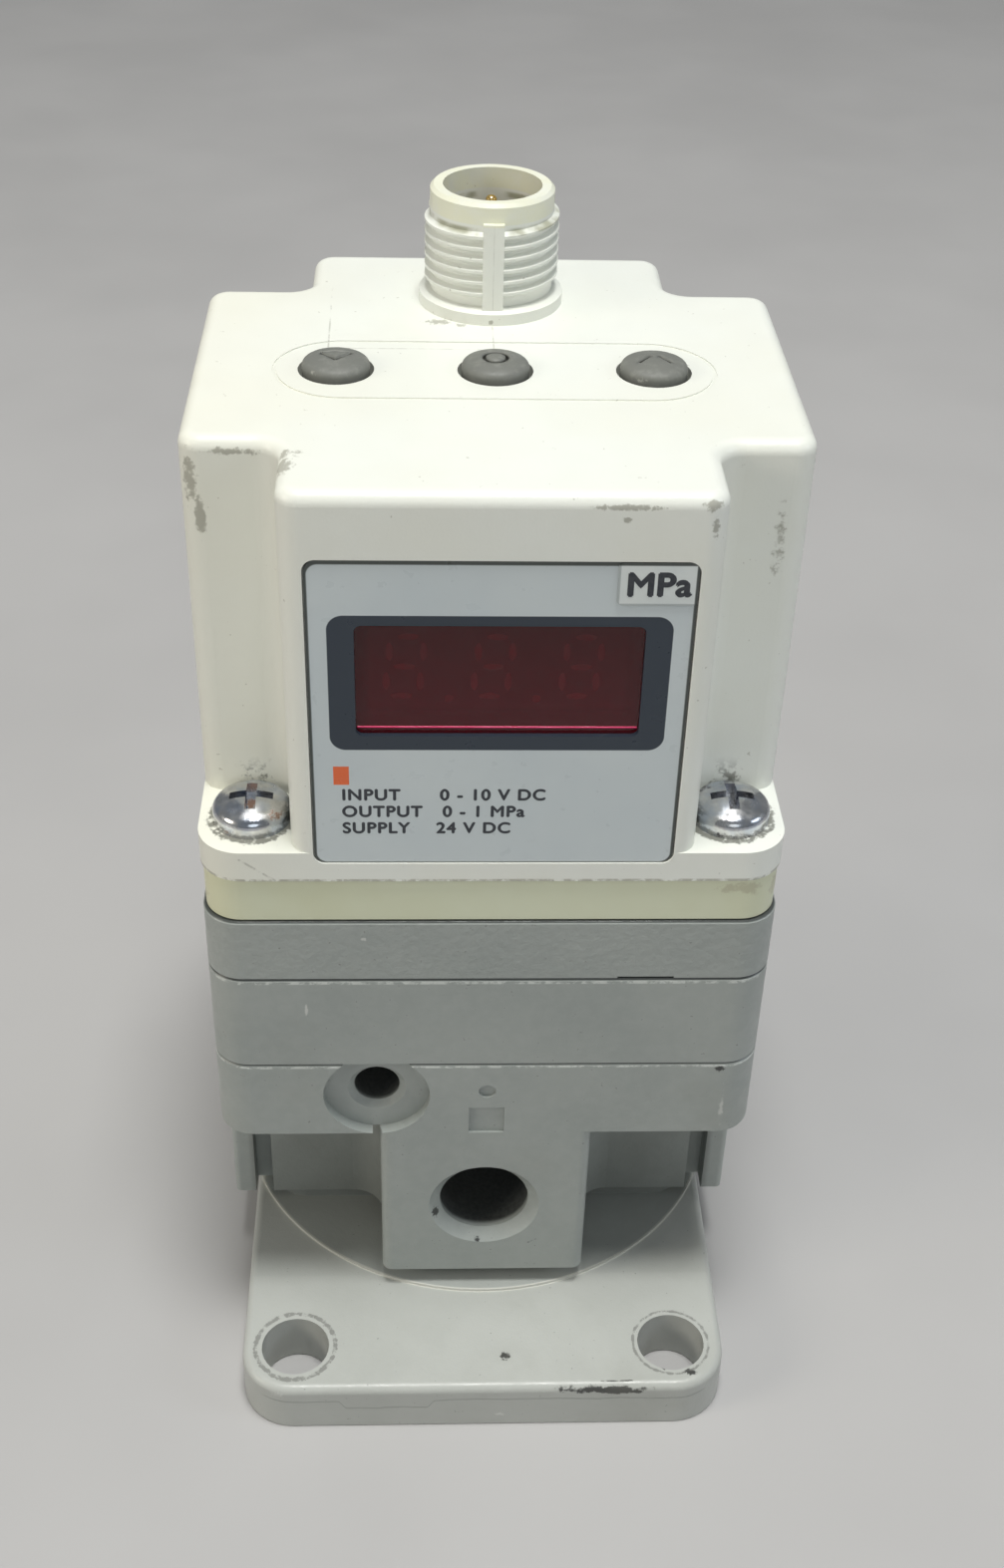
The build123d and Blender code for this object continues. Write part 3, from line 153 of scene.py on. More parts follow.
# %% Thread of the connector
axis_y = 13.6 * mm
thread_floor, thread_top, pitch = 95.45 * mm, 102.75 * mm, 1.0 * mm
core, crest = 5.38 * mm, 5.87 * mm
steps = 64
thread = start("plane", "connector_thread", size=1.0, location=(0, 0, 0), rotation=(pi / 2, 0, 0))
thread.scale = (crest - core, 0.78 * mm, 1)
bpy.ops.object.transform_apply(location=True, rotation=True, scale=True)
pick(thread, lambda v: True)
bpy.ops.transform.translate(value=((core + crest) / 2, 0, thread_floor + 0.39 * mm))
bpy.ops.object.mode_set(mode="OBJECT")
pick(thread, lambda v: v.x > (core + crest) / 2)
bpy.ops.transform.resize(value=(1, 1, 0.3), center_override=(0, 0, thread_floor + 0.39 * mm))
bpy.ops.mesh.select_all(action="SELECT")
bpy.ops.mesh.delete(type="ONLY_FACE")
bpy.ops.object.mode_set(mode="OBJECT")
turns = (thread_top - thread_floor - 0.78 * mm) / pitch
winding = thread.modifiers.new("winding", "SCREW")
winding.angle = 2 * pi * turns
winding.screw_offset = pitch * turns
winding.steps = winding.render_steps = round(steps * turns)
bpy.ops.object.modifier_apply(modifier="winding")
print("thread of", round(turns, 1), "turns,", len(thread.data.vertices), "vertices")

# %% [markdown]
# A real thread doesn't end in a step: its last bit sinks back into the core. The sections lie
# one after another along the ridge, four vertices each, so the end sections are picked one by
# one and drawn in towards the axis, each a little more than the one before. Then both ends
# are closed, and the ridge is set on the connector's own axis.

# %% Ends of the thread
count = len(thread.data.vertices) // 4
fade = 10
ordered = sorted(range(len(thread.data.vertices)), key=lambda i: thread.data.vertices[i].index)
for step in range(fade):
    inward = core / crest + (1 - core / crest) * (step + 0.5) / fade
    for section in (step, count - 1 - step):
        middle = sum((thread.data.vertices[section * 4 + k].co for k in range(4)), Vector()) / 4
        pick(thread, lambda v: (v - middle).length < 0.5 * mm and v.xy.length > core + 0.3 * mm
             and abs(v.xy.normalized().dot(middle.xy.normalized()) - 1) < 1e-6)
        bpy.ops.transform.resize(value=(inward, inward, 1), center_override=(0, 0, 0))
        bpy.ops.object.mode_set(mode="OBJECT")
pick(thread, lambda v: True)
bpy.ops.mesh.fill_holes(sides=4)
bpy.ops.mesh.normals_make_consistent(inside=False)
bpy.ops.transform.translate(value=(0, axis_y, 0))
settle(thread, "housing", smooth=40)

# %% [markdown]
# ## Key inside the connector
# A round connector only fits one way because a small rib inside the shell meets a groove in
# the plug. The rib is a bar with a rounded inner edge and a sloped top that helps the plug in.

# %% Key inside the connector
bore, insert_face = 4.3 * mm, 95.3 * mm
rib = start("cube", "connector_key", size=1.0, location=(-bore + 0.2 * mm, axis_y, insert_face + 3.3 * mm))
rib.scale = (0.9 * mm, 1.1 * mm, 6.6 * mm)
bpy.ops.object.transform_apply(location=True, rotation=True, scale=True)
pick(rib, lambda v: v.x > -bore + 0.4 * mm)
bpy.ops.mesh.bevel(offset=0.25 * mm, segments=3, affect="EDGES")
bpy.ops.object.mode_set(mode="OBJECT")
pick(rib, lambda v: v.z > insert_face + 6 * mm and v.x > -bore + 0.3 * mm)
bpy.ops.transform.translate(value=(-0.2 * mm, 0, -0.5 * mm))
settle(rib, "housing")

# %% [markdown]
# ## Keys with engraved marks
# The three grey keys carry a mark each, cut into the dome: an arrow down, a ring for the
# middle key, and an arrow up. The solid key is copied, its loose triangles are merged, and a
# Boolean modifier takes the mark away. A bump would show the mark from the front only; a cut
# also catches light on its walls. The copy then stands for the solid key and rides on its body.

# %% Cutters for the marks
key_top, mark_floor = 95.2 * mm, 94.66 * mm
key_y, key_pitch = -1.9 * mm, 13.15 * mm


def bar(x, y, angle, length, width, floor=mark_floor):
    """An upright bar that cuts a straight groove, turned by an angle in degrees."""
    cutter = start("cube", "mark", size=1.0, location=(x, y, (floor + key_top) / 2 + 0.2 * mm),
                   rotation=(0, 0, radians(angle)))
    cutter.scale = (length, width, key_top - floor + 0.4 * mm)
    bpy.ops.object.transform_apply(location=True, rotation=True, scale=True)
    return cutter


def chevron(x, way, spread, length):
    """Two slanting bars: way is 1 for a point to the back and -1 for a point to the front."""
    return [bar(x + side * spread * mm, key_y, -way * side * 48, length * mm, 0.36 * mm) for side in (-1, 1)]


def ring_mark(x):
    """A round groove, cut by a flattened ring that reaches down into the dome."""
    ring = start("torus", "mark", major_radius=0.95 * mm, minor_radius=0.17 * mm,
                 major_segments=40, minor_segments=12, location=(x, key_y, 95.0 * mm))
    ring.scale = (1, 1, 2.0)
    bpy.ops.object.transform_apply(location=True, rotation=True, scale=True)
    return [ring]


cutters = {
    "down": chevron(-key_pitch, -1, 0.66, 2.1),
    "set": ring_mark(0),
    "up": chevron(key_pitch, 1, 0.82, 1.6),
}
cutters["down"].append(bar(-key_pitch, key_y + 0.92 * mm, 0, 2.5 * mm, 0.16 * mm, 94.85 * mm))
print("cutters for", ", ".join(cutters))

# %% Cut the marks
for which, marks in cutters.items():
    only(nodes[f"button_{which}"])
    bpy.ops.object.duplicate()
    key = bpy.context.object
    key.name = key.data.name = f"key_{which}"
    key.parent = None
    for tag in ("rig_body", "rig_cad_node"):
        if tag in key:
            del key[tag]
    pick(key, lambda v: True)
    bpy.ops.mesh.remove_doubles(threshold=0.002 * mm)
    bpy.ops.mesh.normals_make_consistent(inside=False)
    bpy.ops.object.mode_set(mode="OBJECT")
    for mark in marks:
        cut = key.modifiers.new("cut", "BOOLEAN")
        cut.operation, cut.solver, cut.object = "DIFFERENCE", "EXACT", mark
        only(key)
        bpy.ops.object.modifier_apply(modifier="cut")
        bpy.data.objects.remove(mark)
    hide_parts(f"button_{which}")
    settle(key, f"button_{which}", smooth=35)

# %% [markdown]
# ## Digits behind the window
# Behind the red filter sits a module with three digits of seven segments and two points. Lit
# or not, the segments show faintly. One segment is a flat bar with pointed ends, which is a
# six-sided cylinder pulled long. It is copied to the seven places of a digit, leaning a little
# to the right as such digits do, and the digit is copied three times.

# %% One segment, copied to seven places
module_y = -21.2 * mm
digit_z = 77.9 * mm
segment_long, segment_wide, slant = 1.75 * mm, 0.5 * mm, 0.1


def segment(name, x, z, upright):
    """One flat pointed bar on the module's face."""
    piece = start("cylinder", name, vertices=6, radius=1.0, depth=0.12 * mm,
                  location=(0, 0, 0), rotation=(pi / 2, 0, 0))
    bpy.ops.object.transform_apply(location=True, rotation=True, scale=True)
    long, wide = segment_long, segment_wide
    piece.scale = (wide / 1.6, 1, long / 1.9) if upright else (long / 1.9, 1, wide / 1.6)
    bpy.ops.object.transform_apply(location=True, rotation=True, scale=True)
    pick(piece, lambda v: True)
    bpy.ops.transform.translate(value=(x + slant * (z - digit_z), module_y, z))
    bpy.ops.object.mode_set(mode="OBJECT")
    return piece


digit_step = 7.0 * mm
half_wide, half_high = 1.35 * mm, 2.75 * mm
places = [(0, half_high, False), (0, 0, False), (0, -half_high, False)]
places += [(sx * half_wide, sz * half_high / 2, True) for sx in (-1, 1) for sz in (-1, 1)]
parts = [segment("segment", dx, digit_z + dz, upright) for dx, dz, upright in places]
only(parts[0])
for part in parts:
    part.select_set(True)
bpy.ops.object.join()
digit = bpy.context.object
digit.name = digit.data.name = "digit_middle"
print("one digit from", len(parts), "segments")

# %% Three digits and two points
pick(digit, lambda v: True)
bpy.ops.transform.translate(value=(-0.4 * mm, 0, 0))
bpy.ops.object.mode_set(mode="OBJECT")
for name, shift in (("digit_left", -digit_step), ("digit_right", digit_step)):
    only(digit)
    bpy.ops.object.duplicate()
    twin = bpy.context.object
    twin.name = twin.data.name = name
    pick(twin, lambda v: True)
    bpy.ops.transform.translate(value=(shift, 0, 0))
    settle(twin, "housing")
settle(digit, "housing")
for name, x in (("point_left", -3.9 * mm), ("point_right", 3.1 * mm)):
    point = start("cylinder", name, vertices=24, radius=0.36 * mm, depth=0.12 * mm,
                  location=(x, module_y, 74.9 * mm), rotation=(pi / 2, 0, 0))
    pick(point, lambda v: v.z < -0.05 * mm)
    bpy.ops.mesh.bevel(offset=0.03 * mm, segments=2, affect="EDGES")
    settle(point, "housing")

# %% [markdown]
# ## Lettering
# The plate carries its unit and a few lines of plain data. Letters are Blender text with the
# built-in font. Text outlines are filled badly when they are under a thousandth of a unit, so
# the text is set a thousand times too large, made a mesh, and only then brought down to
# millimetres and stood upright. It stands 0.02 mm proud, like thick screen print. The font
# is thin, and swelling its outlines breaks some letters, so each line is struck five times,
# a little to every side, as a printer makes bold type.

# %% Lettering
def letters(name, words, x, z, size, y, spread=1.0, bold=0.02):
    """A line of printed text on an upright face, its left end at x, sizes in millimetres."""
    strikes = []
    for strike in range(5):
        bpy.ops.object.select_all(action="DESELECT")
        aside = ((0, 0), (1, 0), (-1, 0), (0, 1), (0, -1))[strike]
        bpy.ops.object.text_add(location=(aside[0] * bold * size, aside[1] * bold * size, 0.001 * strike))
        line = bpy.context.object
        line.data.body = words
        line.data.size = size
        line.data.extrude = 0.01
        line.data.space_character = spread
        bpy.ops.object.convert(target="MESH")
        strikes.append(bpy.context.object)
    for piece in strikes:
        piece.select_set(True)
    bpy.ops.object.join()
    line = bpy.context.object
    line.name = line.data.name = name
    line.rotation_euler = (pi / 2, 0, 0)
    line.scale = (mm, mm, mm)
    line.location = (x * mm, y, z * mm)
    bpy.ops.object.transform_apply(location=True, rotation=True, scale=True)
    return settle(line, "housing")


plate_y = -23.85 * mm
printed = [letters("unit_text", "MPa", 9.45, 85.45, 2.85, plate_y - 0.13 * mm, 1.04, 0.036)]
lines = [("INPUT      0 - 10 V DC", 66.0), ("OUTPUT   0 - 1 MPa", 64.3), ("SUPPLY    24 V DC", 62.6)]
for number, (words, z) in enumerate(lines):
    printed.append(letters(f"data_line_{number + 1}", words, -12.6, z, 1.55, plate_y, 1.12, 0.036))

# %% [markdown]
# ## Lower edge of the red filter
# The filter is a thick sheet of red acrylic. Its lower edge is bevelled where it meets the
# frame. A thin bevelled strip, bright red and glowing faintly, lies there as a painted highlight across the window.

# %% Lower edge of the red filter
glint = start("cube", "window_glint", size=1.0, location=(0, -23.36 * mm, 73.0 * mm))
glint.scale = (22.4 * mm, 0.16 * mm, 0.16 * mm)
bpy.ops.object.transform_apply(location=True, rotation=True, scale=True)
pick(glint, lambda v: v.y < -23.36 * mm)
bpy.ops.mesh.bevel(offset=0.06 * mm, segments=3, affect="EDGES")
settle(glint, "housing")

# %% [markdown]
# ## Helpers for finishes
# Each finish is one material with one surface shader. The class below adds nodes one at a
# time and hands back their outputs, so that a pattern reads as a line of arithmetic. All
# patterns use Object coordinates: every part sits at the origin with its place in its mesh,
# so these are real places in metres, and a stain can be set where the photograph has it.

# %% Helpers for finishes
class Finish:
    """A material whose patterns are built up node by node."""

    def __init__(self, name, colour, roughness, **sockets):
        self.material = bpy.data.materials.new(name)
        self.material.use_nodes = True
        self.tree = self.material.node_tree
        self.shader = self.tree.nodes["Principled BSDF"]
        self.shader.inputs["Base Color"].default_value = (*colour, 1)
        self.shader.inputs["Roughness"].default_value = roughness
        for socket, value in sockets.items():
            self.shader.inputs[socket.replace("_", " ")].default_value = value
        self.grains = {}
        self.place = self.node("TexCoord").outputs["Object"]
        self.x, self.y, self.z = self.node("SeparateXYZ", Vector=self.place).outputs

    def node(self, kind, **inputs):
        made = self.tree.nodes.new("ShaderNode" + kind)
        for name, value in inputs.items():
            self.feed(made.inputs[name.replace("_", " ")], value)
        return made

    def feed(self, socket, value):
        if isinstance(value, bpy.types.NodeSocket):
            self.tree.links.new(value, socket)
        else:
            socket.default_value = value

    def math(self, operation, a, b=0.0, c=0.0):
        made = self.node("Math")
        made.operation = operation
        for socket, value in zip(made.inputs, (a, b, c)):
            self.feed(socket, value)
        return made.outputs[0]

    def vector(self, operation, a, b=(0, 0, 0)):
        made = self.node("VectorMath")
        made.operation = operation
        self.feed(made.inputs[0], a)
        self.feed(made.inputs[1], b)
        return made.outputs["Value" if operation in ("LENGTH", "DOT_PRODUCT") else "Vector"]

    def noise(self, size, detail=3.0, rough=0.5, stretch=(1, 1, 1)):
        """Noise with grains of about this size in millimetres. The same noise is made only once."""
        kind = (size, detail, rough, stretch)
        if kind not in self.grains:
            place = self.vector("MULTIPLY", self.place, tuple(1000 * s / size for s in stretch))
            made = self.node("TexNoise", Vector=place, Scale=1.0, Detail=detail, Roughness=rough)
            self.grains[kind] = made.outputs["Fac"]
        return self.grains[kind]

    def ramp(self, value, low, high, out_low=0.0, out_high=1.0):
        made = self.node("MapRange", Value=value)
        made.interpolation_type = "SMOOTHSTEP"
        for name, number in zip(("From Min", "From Max", "To Min", "To Max"), (low, high, out_low, out_high)):
            made.inputs[name].default_value = number
        return made.outputs["Result"]

    def mix(self, factor, first, second, blend="MIX"):
        made = self.node("Mix")
        made.data_type, made.blend_type = "RGBA", blend
        for socket, value in ((0, factor), (6, first), (7, second)):
            if not isinstance(value, bpy.types.NodeSocket) and socket:
                value = (*value, 1)
            self.feed(made.inputs[socket], value)
        return made.outputs[2]

    def box(self, low, high, soft):
        """A mask that is 1 inside a box given in millimetres and fades over its soft edge."""
        middle = tuple((a + b) / 2 * mm for a, b in zip(low, high))
        half = tuple((b - a) / 2 * mm for a, b in zip(low, high))
        away = self.vector("SUBTRACT", self.vector("ABSOLUTE", self.vector("SUBTRACT", self.place, middle)), half)
        out = self.vector("LENGTH", self.vector("MAXIMUM", away, (0, 0, 0)))
        return self.ramp(out, 0.0, soft * mm, 1.0, 0.0)

    def spot(self, centre, radii, grain, amount=0.34):
        """A stain that is dense at its centre and breaks up outwards, sizes in millimetres."""
        stretch = self.vector("SUBTRACT", self.place, tuple(c * mm for c in centre))
        stretch = self.vector("MULTIPLY", stretch, tuple(1000 / r for r in radii))
        inward = self.math("SUBTRACT", 1.0, self.vector("LENGTH", stretch))
        inward = self.math("MAXIMUM", inward, -1.5)
        level = self.math("ADD", self.math("MULTIPLY", inward, amount), self.noise(grain, 5.0, 0.7))
        return self.ramp(level, 0.62, 0.78)

    def scratch(self, first, last, width, grain=0.7):
        """A thin broken line from one point to another, sizes in millimetres."""
        a, b = Vector(first) * mm, Vector(last) * mm
        along = b - a
        start_to_here = self.vector("SUBTRACT", self.place, tuple(a))
        share = self.math("DIVIDE", self.vector("DOT_PRODUCT", start_to_here, tuple(along)), along.length_squared)
        share = self.math("MINIMUM", self.math("MAXIMUM", share, 0.0), 1.0)
        nearest = self.node("VectorMath")
        nearest.operation = "SCALE"
        nearest.inputs[0].default_value = along
        self.feed(nearest.inputs["Scale"], share)
        gap = self.vector("LENGTH", self.vector("SUBTRACT", start_to_here, nearest.outputs["Vector"]))
        line = self.ramp(gap, 0.4 * width * mm, width * mm, 1.0, 0.0)
        return self.math("MULTIPLY", line, self.ramp(self.noise(grain, 5.0, 0.7), 0.38, 0.55))

    def level(self, z, above, below, soft=0.05):
        """A band round the object, from below to above a height, in millimetres."""
        rise = self.math("SUBTRACT", self.z, z * mm)
        top = self.ramp(rise, (above - soft) * mm, (above + soft) * mm, 1.0, 0.0)
        return self.math("MULTIPLY", top, self.ramp(rise, (-below - soft) * mm, (-below + soft) * mm))

    def spread(self, mask, amount):
        return self.math("MULTIPLY", mask, amount)

    def either(self, *masks):
        total = masks[0]
        for mask in masks[1:]:
            total = self.math("MAXIMUM", total, mask)
        return total

    def colour(self, value):
        self.feed(self.shader.inputs["Base Color"], value)

    def roughness(self, value):
        self.feed(self.shader.inputs["Roughness"], value)

    def relief(self, height, depth, strength=1.0):
        """Bump of this depth in millimetres."""
        bump = self.node("Bump", Height=height, Strength=strength, Distance=depth * mm)
        self.feed(self.shader.inputs["Normal"], bump.outputs["Normal"])

    def wear(self, *pieces):
        for piece in pieces:
            piece = nodes.get(piece, bpy.data.objects.get(piece)) if isinstance(piece, str) else piece
            piece.data.materials.clear()
            piece.data.materials.append(self.material)
        print(self.material.name, "on", len(pieces), "pieces")

# %% [markdown]
# ## Grey paint
# The bracket and the three plates are die castings sprayed with one grey enamel. Up close it
# has the dimples of sprayed paint, a faint mottle and specks of dirt. Each plate meets the
# next at a known height: there a dark line shows where the gasket lies, and the paint on the
# upper edge just below it has chipped to bright metal. Scuffs sit where the photograph shows
# them, and every stain is densest at its centre and breaks up outwards, as real ones do.

# %% Grey paint
paint = Finish("grey paint", (0.37, 0.39, 0.375), 0.36)
mottle = paint.ramp(paint.noise(9.0, 4.0), 0.3, 0.7)
tone = paint.mix(mottle, (0.315, 0.343, 0.330), (0.345, 0.372, 0.356))
batch = paint.ramp(paint.z, 5.745 * mm, 5.755 * mm, 1.0, 0.0)
tone = paint.mix(batch, tone, paint.mix(mottle, (0.43, 0.445, 0.42), (0.46, 0.475, 0.45)))
cast = paint.ramp(paint.noise(1.1, 3.0, 0.6), 0.35, 0.7)
tone = paint.mix(paint.spread(cast, 0.12), tone, (0.48, 0.50, 0.48))
specks = paint.ramp(paint.noise(0.55, 2.0, 0.8), 0.70, 0.75)
tone = paint.mix(paint.spread(specks, 0.5), tone, (0.12, 0.12, 0.11))
chips = paint.either(paint.level(46.05, 0.16, 0.14), paint.level(35.72, 0.12, 0.1))
chips = paint.math("MULTIPLY", chips, paint.ramp(paint.noise(1.2, 5.0, 0.7), 0.44, 0.56))
tone = paint.mix(paint.spread(chips, 0.75), tone, (0.66, 0.69, 0.66))
lines = paint.either(paint.level(46.38, 0.16, 0.1), paint.level(36.0, 0.1, 0.06), paint.level(53.0, 0.1, 0.12))
tone = paint.mix(paint.spread(lines, 0.85), tone, (0.03, 0.035, 0.035))

# %% Scuffs and scratches on the paint
black = paint.either(
    paint.spot((11.3, -36.3, 4.9), (6.2, 0.7, 0.55), 0.7, 0.5),
    paint.spot((13.0, -36.4, 4.7), (3.2, 0.6, 0.5), 0.7, 0.62),
    paint.spot((21.3, -24.0, 35.4), (0.6, 0.4, 0.6), 0.4, 0.5),
    paint.spot((-4.7, -23.6, 15.8), (0.7, 0.6, 0.9), 0.4, 0.5),
    paint.spot((-0.6, -23.8, 11.9), (0.5, 0.5, 0.5), 0.4, 0.5),
    paint.spot((2.0, -32.8, 5.45), (0.75, 0.6, 0.3), 0.4, 0.45),
    paint.spot((19.9, -34.9, 5.45), (1.1, 0.5, 0.3), 0.4, 0.4),
    paint.scratch((11.2, -35.85, 5.45), (14.2, -35.8, 5.45), 0.12),
    paint.scratch((4.4, -24.0, 11.6), (5.2, -24.0, 12.1), 0.12),
    paint.scratch((15.6, -32.6, 5.4), (17.4, -34.6, 5.4), 0.12),
)
tone = paint.mix(paint.spread(black, 0.92), tone, (0.02, 0.02, 0.02))


def washer_mark(x, y, radius, width):
    """A broken ring that a washer left round a hole."""
    away = paint.vector("MULTIPLY", paint.vector("SUBTRACT", paint.place, (x * mm, y * mm, 0)), (1, 1, 0))
    gap = paint.math("ABSOLUTE", paint.math("SUBTRACT", paint.vector("LENGTH", away), radius * mm))
    ring = paint.ramp(gap, 0.2 * width * mm, width * mm, 0.36, 0.0)
    return paint.ramp(paint.math("ADD", ring, paint.noise(0.7, 5.0, 0.7)), 0.74, 0.88)


rubbed = paint.either(washer_mark(-18.3, -31.4, 3.85, 0.5), washer_mark(18.3, -31.4, 3.7, 0.3))
tone = paint.mix(paint.spread(rubbed, 0.6), tone, (0.13, 0.13, 0.12))
# Painted highlight: a thin light line along the edge of the round pad on the bracket, where the edge catches the
# light.
pad_away = paint.vector("LENGTH", paint.vector("MULTIPLY", paint.place, (1, 1, 0)))
pad_edge_highlight = paint.ramp(paint.math("ABSOLUTE", paint.math("SUBTRACT", pad_away, 24.95 * mm)), 0.05 * mm, 0.2 * mm, 1.0, 0.0)
pad_edge_highlight = paint.math("MULTIPLY", pad_edge_highlight, paint.level(5.6, 0.3, 0.3))
tone = paint.mix(paint.spread(pad_edge_highlight, 0.7), tone, (0.74, 0.74, 0.68))
bare = paint.either(
    paint.spot((-16.3, -24.0, 42.9), (0.2, 0.3, 0.9), 0.4, 0.55),
    paint.spot((-11.1, -24.0, 51.2), (0.35, 0.3, 0.35), 0.4, 0.5),
    paint.spot((1.5, -36.5, 1.4), (0.7, 0.3, 0.3), 0.4, 0.5),
    paint.spot((-19.5, -35.8, 4.6), (1.6, 0.8, 0.9), 0.7, 0.42),
    paint.spot((21.9, -24.0, 30.5), (0.35, 0.5, 4.0), 0.7, 0.3),
)
tone = paint.mix(paint.spread(bare, 0.6), tone, (0.66, 0.67, 0.64))
grime = paint.ramp(paint.noise(14.0, 5.0, 0.6), 0.52, 0.75)
tone = paint.mix(paint.spread(grime, 0.16), tone, (0.22, 0.22, 0.18))

# %% Bare bores and pockets, darkened with painted shade
def in_bore(x, z, radius, y):
    """1 inside a drilled hole that runs from front to back, deeper in than y."""
    aside = paint.vector("MULTIPLY", paint.vector("SUBTRACT", paint.place, (x * mm, 0, z * mm)), (1, 0, 1))
    round_wall = paint.ramp(paint.vector("LENGTH", aside), (radius + 0.02) * mm, (radius + 0.06) * mm, 1.0, 0.0)
    return paint.math("MULTIPLY", round_wall, paint.ramp(paint.y, (y - 0.3) * mm, (y + 0.3) * mm))


# The bare metal inside the gauge port and the vent hole is painted nearly black: painted shade deep in the bores.
bore_shade = paint.either(in_bore(0, 17.1, 4.75, -22.4), in_bore(-10.2, 32.1, 2.1, -22.1))
streaks = paint.ramp(paint.noise(0.4, 5.0, 0.7), 0.3, 0.7)
tone = paint.mix(bore_shade, tone, paint.mix(streaks, (0.055, 0.06, 0.06), (0.10, 0.105, 0.10)))
# Painted shade in the pockets under the shelf on both sides of the body, broken up a little by noise.
pocket_shade = paint.either(
    paint.box((10.4, -22.6, 6.0), (23.2, -12.0, 26.9), 0.7),
    paint.box((-23.2, -22.6, 6.0), (-10.4, -12.0, 26.9), 0.7),
)
pocket_shade = paint.math("MULTIPLY", pocket_shade, paint.ramp(paint.noise(9.0, 4.0), 0.25, 0.75, 0.55, 1.0))
tone = paint.mix(paint.spread(pocket_shade, 0.6), tone, (0.10, 0.105, 0.095))

# %% Mould line and dimples
wobble = paint.math("MULTIPLY", paint.math("SUBTRACT", paint.noise(6.0, 3.0), 0.5), 1.1 * mm)
sag = paint.box((-13.2, -37, 0), (-5.6, -36, 6), 0.9)
line_z = paint.math("SUBTRACT", 3.75 * mm, paint.math("MULTIPLY", sag, 1.05 * mm))
line_gap = paint.math("ABSOLUTE", paint.math("ADD", paint.math("SUBTRACT", paint.z, line_z), wobble))
mould = paint.math("MULTIPLY", paint.ramp(line_gap, 0.03 * mm, 0.13 * mm, 1.0, 0.0), paint.level(3.6, 1.2, 1.6))
mould = paint.math("MULTIPLY", mould, paint.ramp(paint.y, -35.9 * mm, -35.4 * mm, 1.0, 0.0))
tone = paint.mix(paint.spread(mould, 0.4), tone, (0.15, 0.16, 0.155))
paint.colour(tone)
paint.roughness(paint.ramp(paint.noise(2.5), 0.2, 0.8, 0.30, 0.46))
coarse = paint.math("MULTIPLY", paint.noise(0.62, 2.0, 0.45), paint.math("ADD", 0.35, paint.level(49.7, 3.3, 3.3)))
dimples = paint.math("ADD", coarse, paint.math("MULTIPLY", paint.noise(0.2, 1.0), 0.2))
paint.relief(paint.math("SUBTRACT", dimples, paint.math("MULTIPLY", mould, 0.5)), 0.09, 0.6)
paint.wear("mounting_bracket", "valve_body", "bonnet", "pilot_block")

# %% [markdown]
# ## White and cream mouldings
# The cover is a satin white plastic that has turned slightly warm; the band below it has
# yellowed more. The surface is almost smooth, with the finest grain of a moulding tool. Dirt
# gathers in the left notch and along the wing's edge, thin grey lines mark where parts of the
# mould met on the roof, the top edge of the label block is chipped, and dirt rings the screws.

# %% White cover
white = Finish("white plastic", (0.76, 0.77, 0.71), 0.36)
cloud = white.ramp(white.noise(16.0, 4.0), 0.35, 0.75)
shell = white.mix(white.spread(cloud, 0.6), (0.80, 0.82, 0.77), (0.78, 0.785, 0.70))
# Painted warm light: the left side of the cover is tinted warmer, as warm light falls on it from the left.
warm_light_side = white.ramp(white.x, -25 * mm, -8 * mm, 1.0, 0.0)
shell = white.mix(white.spread(warm_light_side, 0.35), shell, (0.82, 0.80, 0.67))
dirt = white.either(
    white.spot((-16.3, -19.2, 93.6), (1.3, 2.0, 0.9), 0.7, 0.5),
    white.spot((-16.9, -17.4, 93.9), (2.2, 1.4, 0.6), 0.7, 0.34),
    white.spot((-24.2, -14.9, 90.6), (0.9, 1.2, 3.2), 0.7, 0.42),
    white.spot((-23.5, -15.0, 87.2), (0.7, 0.8, 2.6), 0.7, 0.5),
    white.spot((-20.6, -15.0, 92.9), (3.8, 0.8, 0.45), 0.7, 0.42),
    white.spot((9.2, -24.0, 93.05), (3.6, 0.6, 0.35), 0.4, 0.5),
    white.spot((15.6, -23.9, 93.2), (1.1, 0.8, 0.7), 0.4, 0.46),
    white.spot((15.9, -23.9, 91.6), (0.5, 0.6, 1.5), 0.4, 0.4),
    white.spot((9.2, -24.0, 92.0), (0.5, 0.3, 0.4), 0.4, 0.5),
    white.spot((-4.6, 8.1, 94.0), (1.8, 0.9, 0.4), 0.4, 0.42),
    white.spot((-2.7, 7.4, 94.0), (0.8, 0.5, 0.4), 0.4, 0.4),
    white.spot((-0.1, 7.2, 94.3), (0.35, 0.35, 0.3), 0.4, 0.5),
    white.spot((22.6, -15.1, 86.0), (0.8, 0.8, 5.0), 1.2, 0.26),
)
shell = white.mix(white.spread(dirt, 0.62), shell, (0.22, 0.21, 0.16))

# %% Lines and scratches on the cover
lines = white.either(
    white.scratch((-13.95, 2.3, 94.0), (-14.1, 15.5, 94.0), 0.10, 2.5),
    white.scratch((-13.9, 2.3, 94.0), (-1.2, 2.3, 94.0), 0.09, 2.5),
    white.scratch((0.0, 2.3, 94.0), (0.0, 7.1, 94.0), 0.09, 2.5),
    white.scratch((-21.3, -24.05, 59.9), (-18.4, -24.05, 57.7), 0.16, 0.7),
    white.scratch((-9.0, -24.0, 62.2), (-5.5, -24.0, 61.9), 0.05, 0.7),
    white.scratch((0.03, 7.68, 95.3), (0.03, 7.68, 103.6), 0.05, 2.5),
)
shell = white.mix(white.spread(lines, 0.45), shell, (0.28, 0.27, 0.23))
dots = white.ramp(white.noise(0.8, 2.0, 0.8), 0.715, 0.75)
shell = white.mix(white.spread(dots, 0.4), shell, (0.25, 0.23, 0.17))


